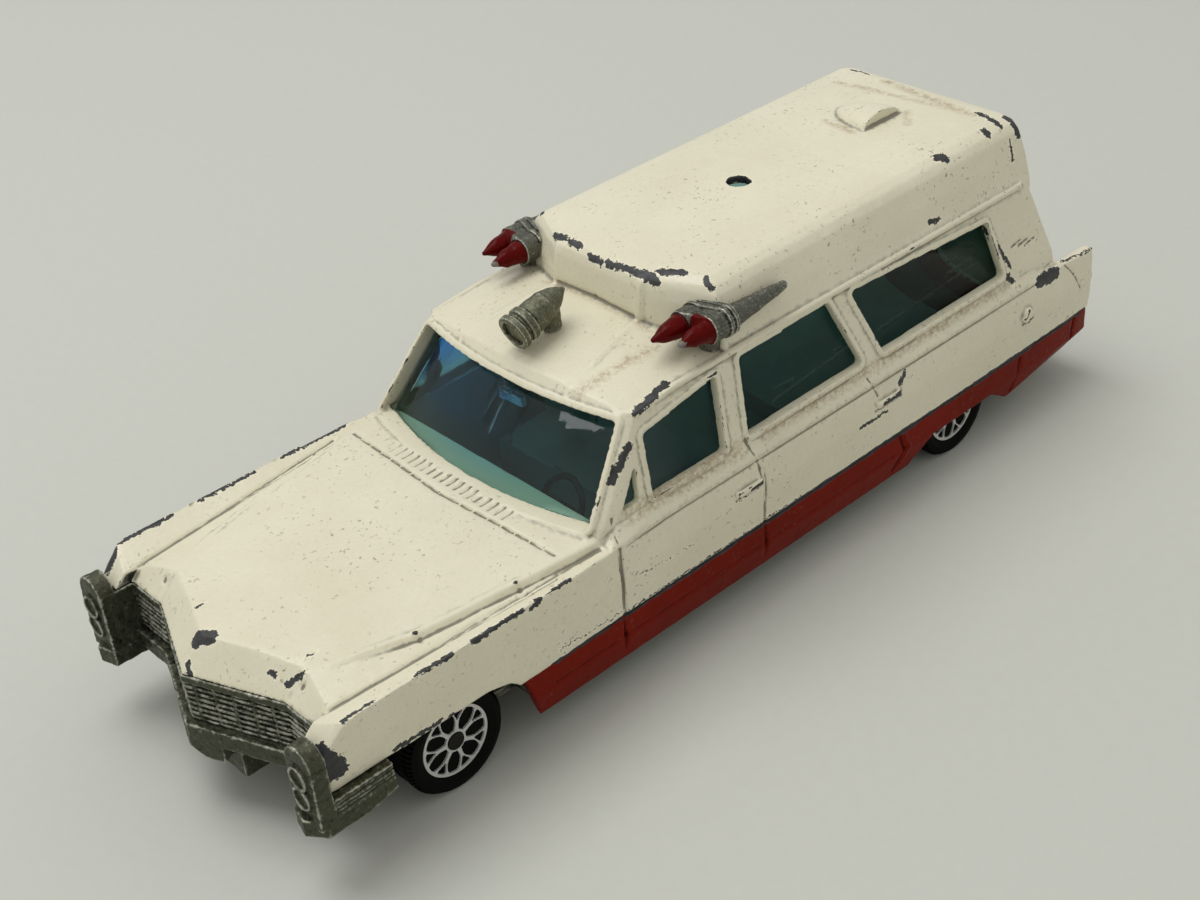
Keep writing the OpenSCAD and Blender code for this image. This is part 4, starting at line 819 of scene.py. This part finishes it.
for node, material in (
    ("steering_wheel", dark_plastic), ("hinge_pins", steel),
    ("front_axle", steel), ("rear_axle", steel),
):
    nodes[node].data.materials.clear()
    nodes[node].data.materials.append(material)

# Wheels: black plastic with a toothed tread and a silver lattice

# Section of the wheel, in millimetres: radius, and distance outward from the middle
WHEEL_PROFILE = [
    (0.95, 1.95), (1.2, 1.95), (1.3, 1.75), (5.0, 1.75), (5.2, 2.1), (6.2, 2.48),
    (7.05, 2.3), (7.48, 1.75), (7.48, 0.8), (7.4, 0.7),
    (7.4, -0.7), (7.48, -0.8), (7.48, -1.75), (7.05, -2.3), (6.2, -2.48), (0.95, -2.48),
]
TREAD_STEPS = 128
# Every other face of the tread outside this radius and beside the middle groove is pressed in
TREAD_RADIUS, TREAD_GROOVE = 7.1, 0.72
TOOTH_DEPTH, TOOTH_RIM = 0.32, 0.03
# Rings of the printed lattice, in millimetres, and the steps round it
LATTICE_RADII = (1.28, 1.8, 2.25, 2.75, 3.25, 3.75, 4.2, 4.6, 4.8, 5.05)
LATTICE_STEPS = 112
LATTICE_PITCH = 16
# Half widths, in steps, of the long and the short openings in each ring
LONG_OPENING = {1: 5, 2: 6, 3: 6, 4: 5, 5: 4, 6: 3}
SHORT_OPENING = {4: 1, 5: 2, 6: 3}
LATTICE_FACE, LATTICE_THICK = 1.72, 0.3
RING_SLACK, RIM_MARGIN, BRINK_ROUNDS = 0.02, 0.05, 3


def spun(profile, steps, closed):
    """A section turned once round the wheel's axle."""
    shape = bmesh.new()
    verts = [shape.verts.new((r * MM, y * MM, 0)) for r, y in profile]
    for a, b in zip(verts, verts[1:]):
        shape.edges.new((a, b))
    if closed:
        shape.edges.new((verts[-1], verts[0]))
    bmesh.ops.spin(
        shape, geom=shape.verts[:] + shape.edges[:], cent=(0, 0, 0), axis=(0, 1, 0),
        angle=math.tau, steps=steps, use_merge=True,
    )
    bmesh.ops.remove_doubles(shape, verts=shape.verts, dist=WELD)
    bmesh.ops.recalc_face_normals(shape, faces=shape.faces)
    return shape


def turn_of(face):
    """Where a face's middle is: share of a turn, radius and distance outward in millimetres."""
    x, y, z = face.calc_center_median() / MM
    return (math.atan2(z, x) / math.tau) % 1.0, math.hypot(x, z), y


def make_tyre():
    shape = spun(WHEEL_PROFILE, TREAD_STEPS, True)
    teeth = []
    for face in shape.faces:
        turn, radius, out = turn_of(face)
        if radius > TREAD_RADIUS and abs(out) > TREAD_GROOVE and int(turn * TREAD_STEPS) % 2:
            teeth.append(face)
    bmesh.ops.inset_individual(shape, faces=teeth, thickness=TOOTH_RIM * MM, depth=-TOOTH_DEPTH * MM)
    return shape


def make_lattice():
    shape = spun([(r, LATTICE_FACE) for r in LATTICE_RADII], LATTICE_STEPS, False)
    opened = []
    for face in shape.faces:
        turn, radius, _ = turn_of(face)
        step = int(turn * LATTICE_STEPS)
        ring = max(i for i, r in enumerate(LATTICE_RADII) if r <= radius + RING_SLACK)
        from_short = min(step % LATTICE_PITCH + 0.5, LATTICE_PITCH - step % LATTICE_PITCH - 0.5)
        from_long = LATTICE_PITCH / 2 - from_short
        if from_long < LONG_OPENING.get(ring, 0) or from_short < SHORT_OPENING.get(ring, 0):
            opened.append(face)
    bmesh.ops.delete(shape, geom=opened, context="FACES")
    inner, outer = LATTICE_RADII[0] + RIM_MARGIN, LATTICE_RADII[-1] - RIM_MARGIN
    brinks = [v for v in shape.verts if v.is_boundary and inner < math.hypot(v.co.x, v.co.z) / MM < outer]
    for _ in range(BRINK_ROUNDS):
        bmesh.ops.smooth_vert(
            shape, verts=brinks, factor=SMOOTHING, use_axis_x=True, use_axis_y=True, use_axis_z=True
        )
    for face in shape.faces:
        if face.normal.y < 0:
            face.normal_flip()
    bmesh.ops.solidify(shape, geom=shape.faces[:], thickness=-LATTICE_THICK * MM)
    bmesh.ops.recalc_face_normals(shape, faces=shape.faces)
    return shape


def wheel_mesh(name, side, place):
    """Tyre and lattice in one mesh, mirrored for the right side, at the wheel's place."""
    mesh = bpy.data.meshes.new(name)
    whole = bmesh.new()
    for index, part in enumerate((make_tyre(), make_lattice())):
        for face in part.faces:
            face.material_index = index
            face.smooth = True
        part.to_mesh(mesh)
        part.free()
        whole.from_mesh(mesh)
    if side < 0:
        bmesh.ops.scale(whole, vec=(1, -1, 1), verts=whole.verts)
        bmesh.ops.reverse_faces(whole, faces=whole.faces)
    bmesh.ops.translate(whole, vec=place, verts=whole.verts)
    whole.to_mesh(mesh)
    whole.free()
    mesh.set_sharp_from_angle(angle=CREASE)
    return mesh


for node in ("wheel_front_left", "wheel_front_right", "wheel_rear_left", "wheel_rear_right"):
    low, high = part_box(node)
    side = 1 if node.endswith("left") else -1
    mesh = wheel_mesh("dressed_" + node, side, (low + high) / 2)
    add_piece("dressed_" + node, mesh, [black_plastic, hub_silver], node, node)

# Floor, world and light, in metres

FLOOR_SIZE = 4.0
WORLD_COLOUR = (0.56, 0.56, 0.54, 1)
LAMP_PLACE, LAMP_AIM = (0.10, -0.20, 0.75), (0.03, 0.03, 0.0)
LAMP_SIZE, LAMP_POWER = 0.5, 2.95


def make_floor():
    shape = bmesh.new()
    bmesh.ops.create_grid(shape, x_segments=2, y_segments=2, size=FLOOR_SIZE)
    mesh = bpy.data.meshes.new("paper_floor")
    shape.to_mesh(mesh)
    shape.free()
    mesh.materials.append(paper_floor("paper_floor"))
    floor = bpy.data.objects.new("paper_floor", mesh)
    scene.collection.objects.link(floor)


def make_world():
    world = bpy.data.worlds.new("studio")
    scene.world = world
    world.use_nodes = True
    background = world.node_tree.nodes["Background"]
    background.inputs["Color"].default_value = WORLD_COLOUR
    background.inputs["Strength"].default_value = 1.0


def soft_lamp(name, place, aim, size, power):
    lamp = bpy.data.objects.new(name, bpy.data.lights.new(name, "AREA"))
    lamp.data.shape = "SQUARE"
    lamp.data.size = size
    lamp.data.energy = power
    lamp.location = place
    lamp.rotation_euler = (Vector(aim) - Vector(place)).to_track_quat("-Z", "Y").to_euler()
    scene.collection.objects.link(lamp)


make_floor()
make_world()
soft_lamp("overhead", LAMP_PLACE, LAMP_AIM, LAMP_SIZE, LAMP_POWER)
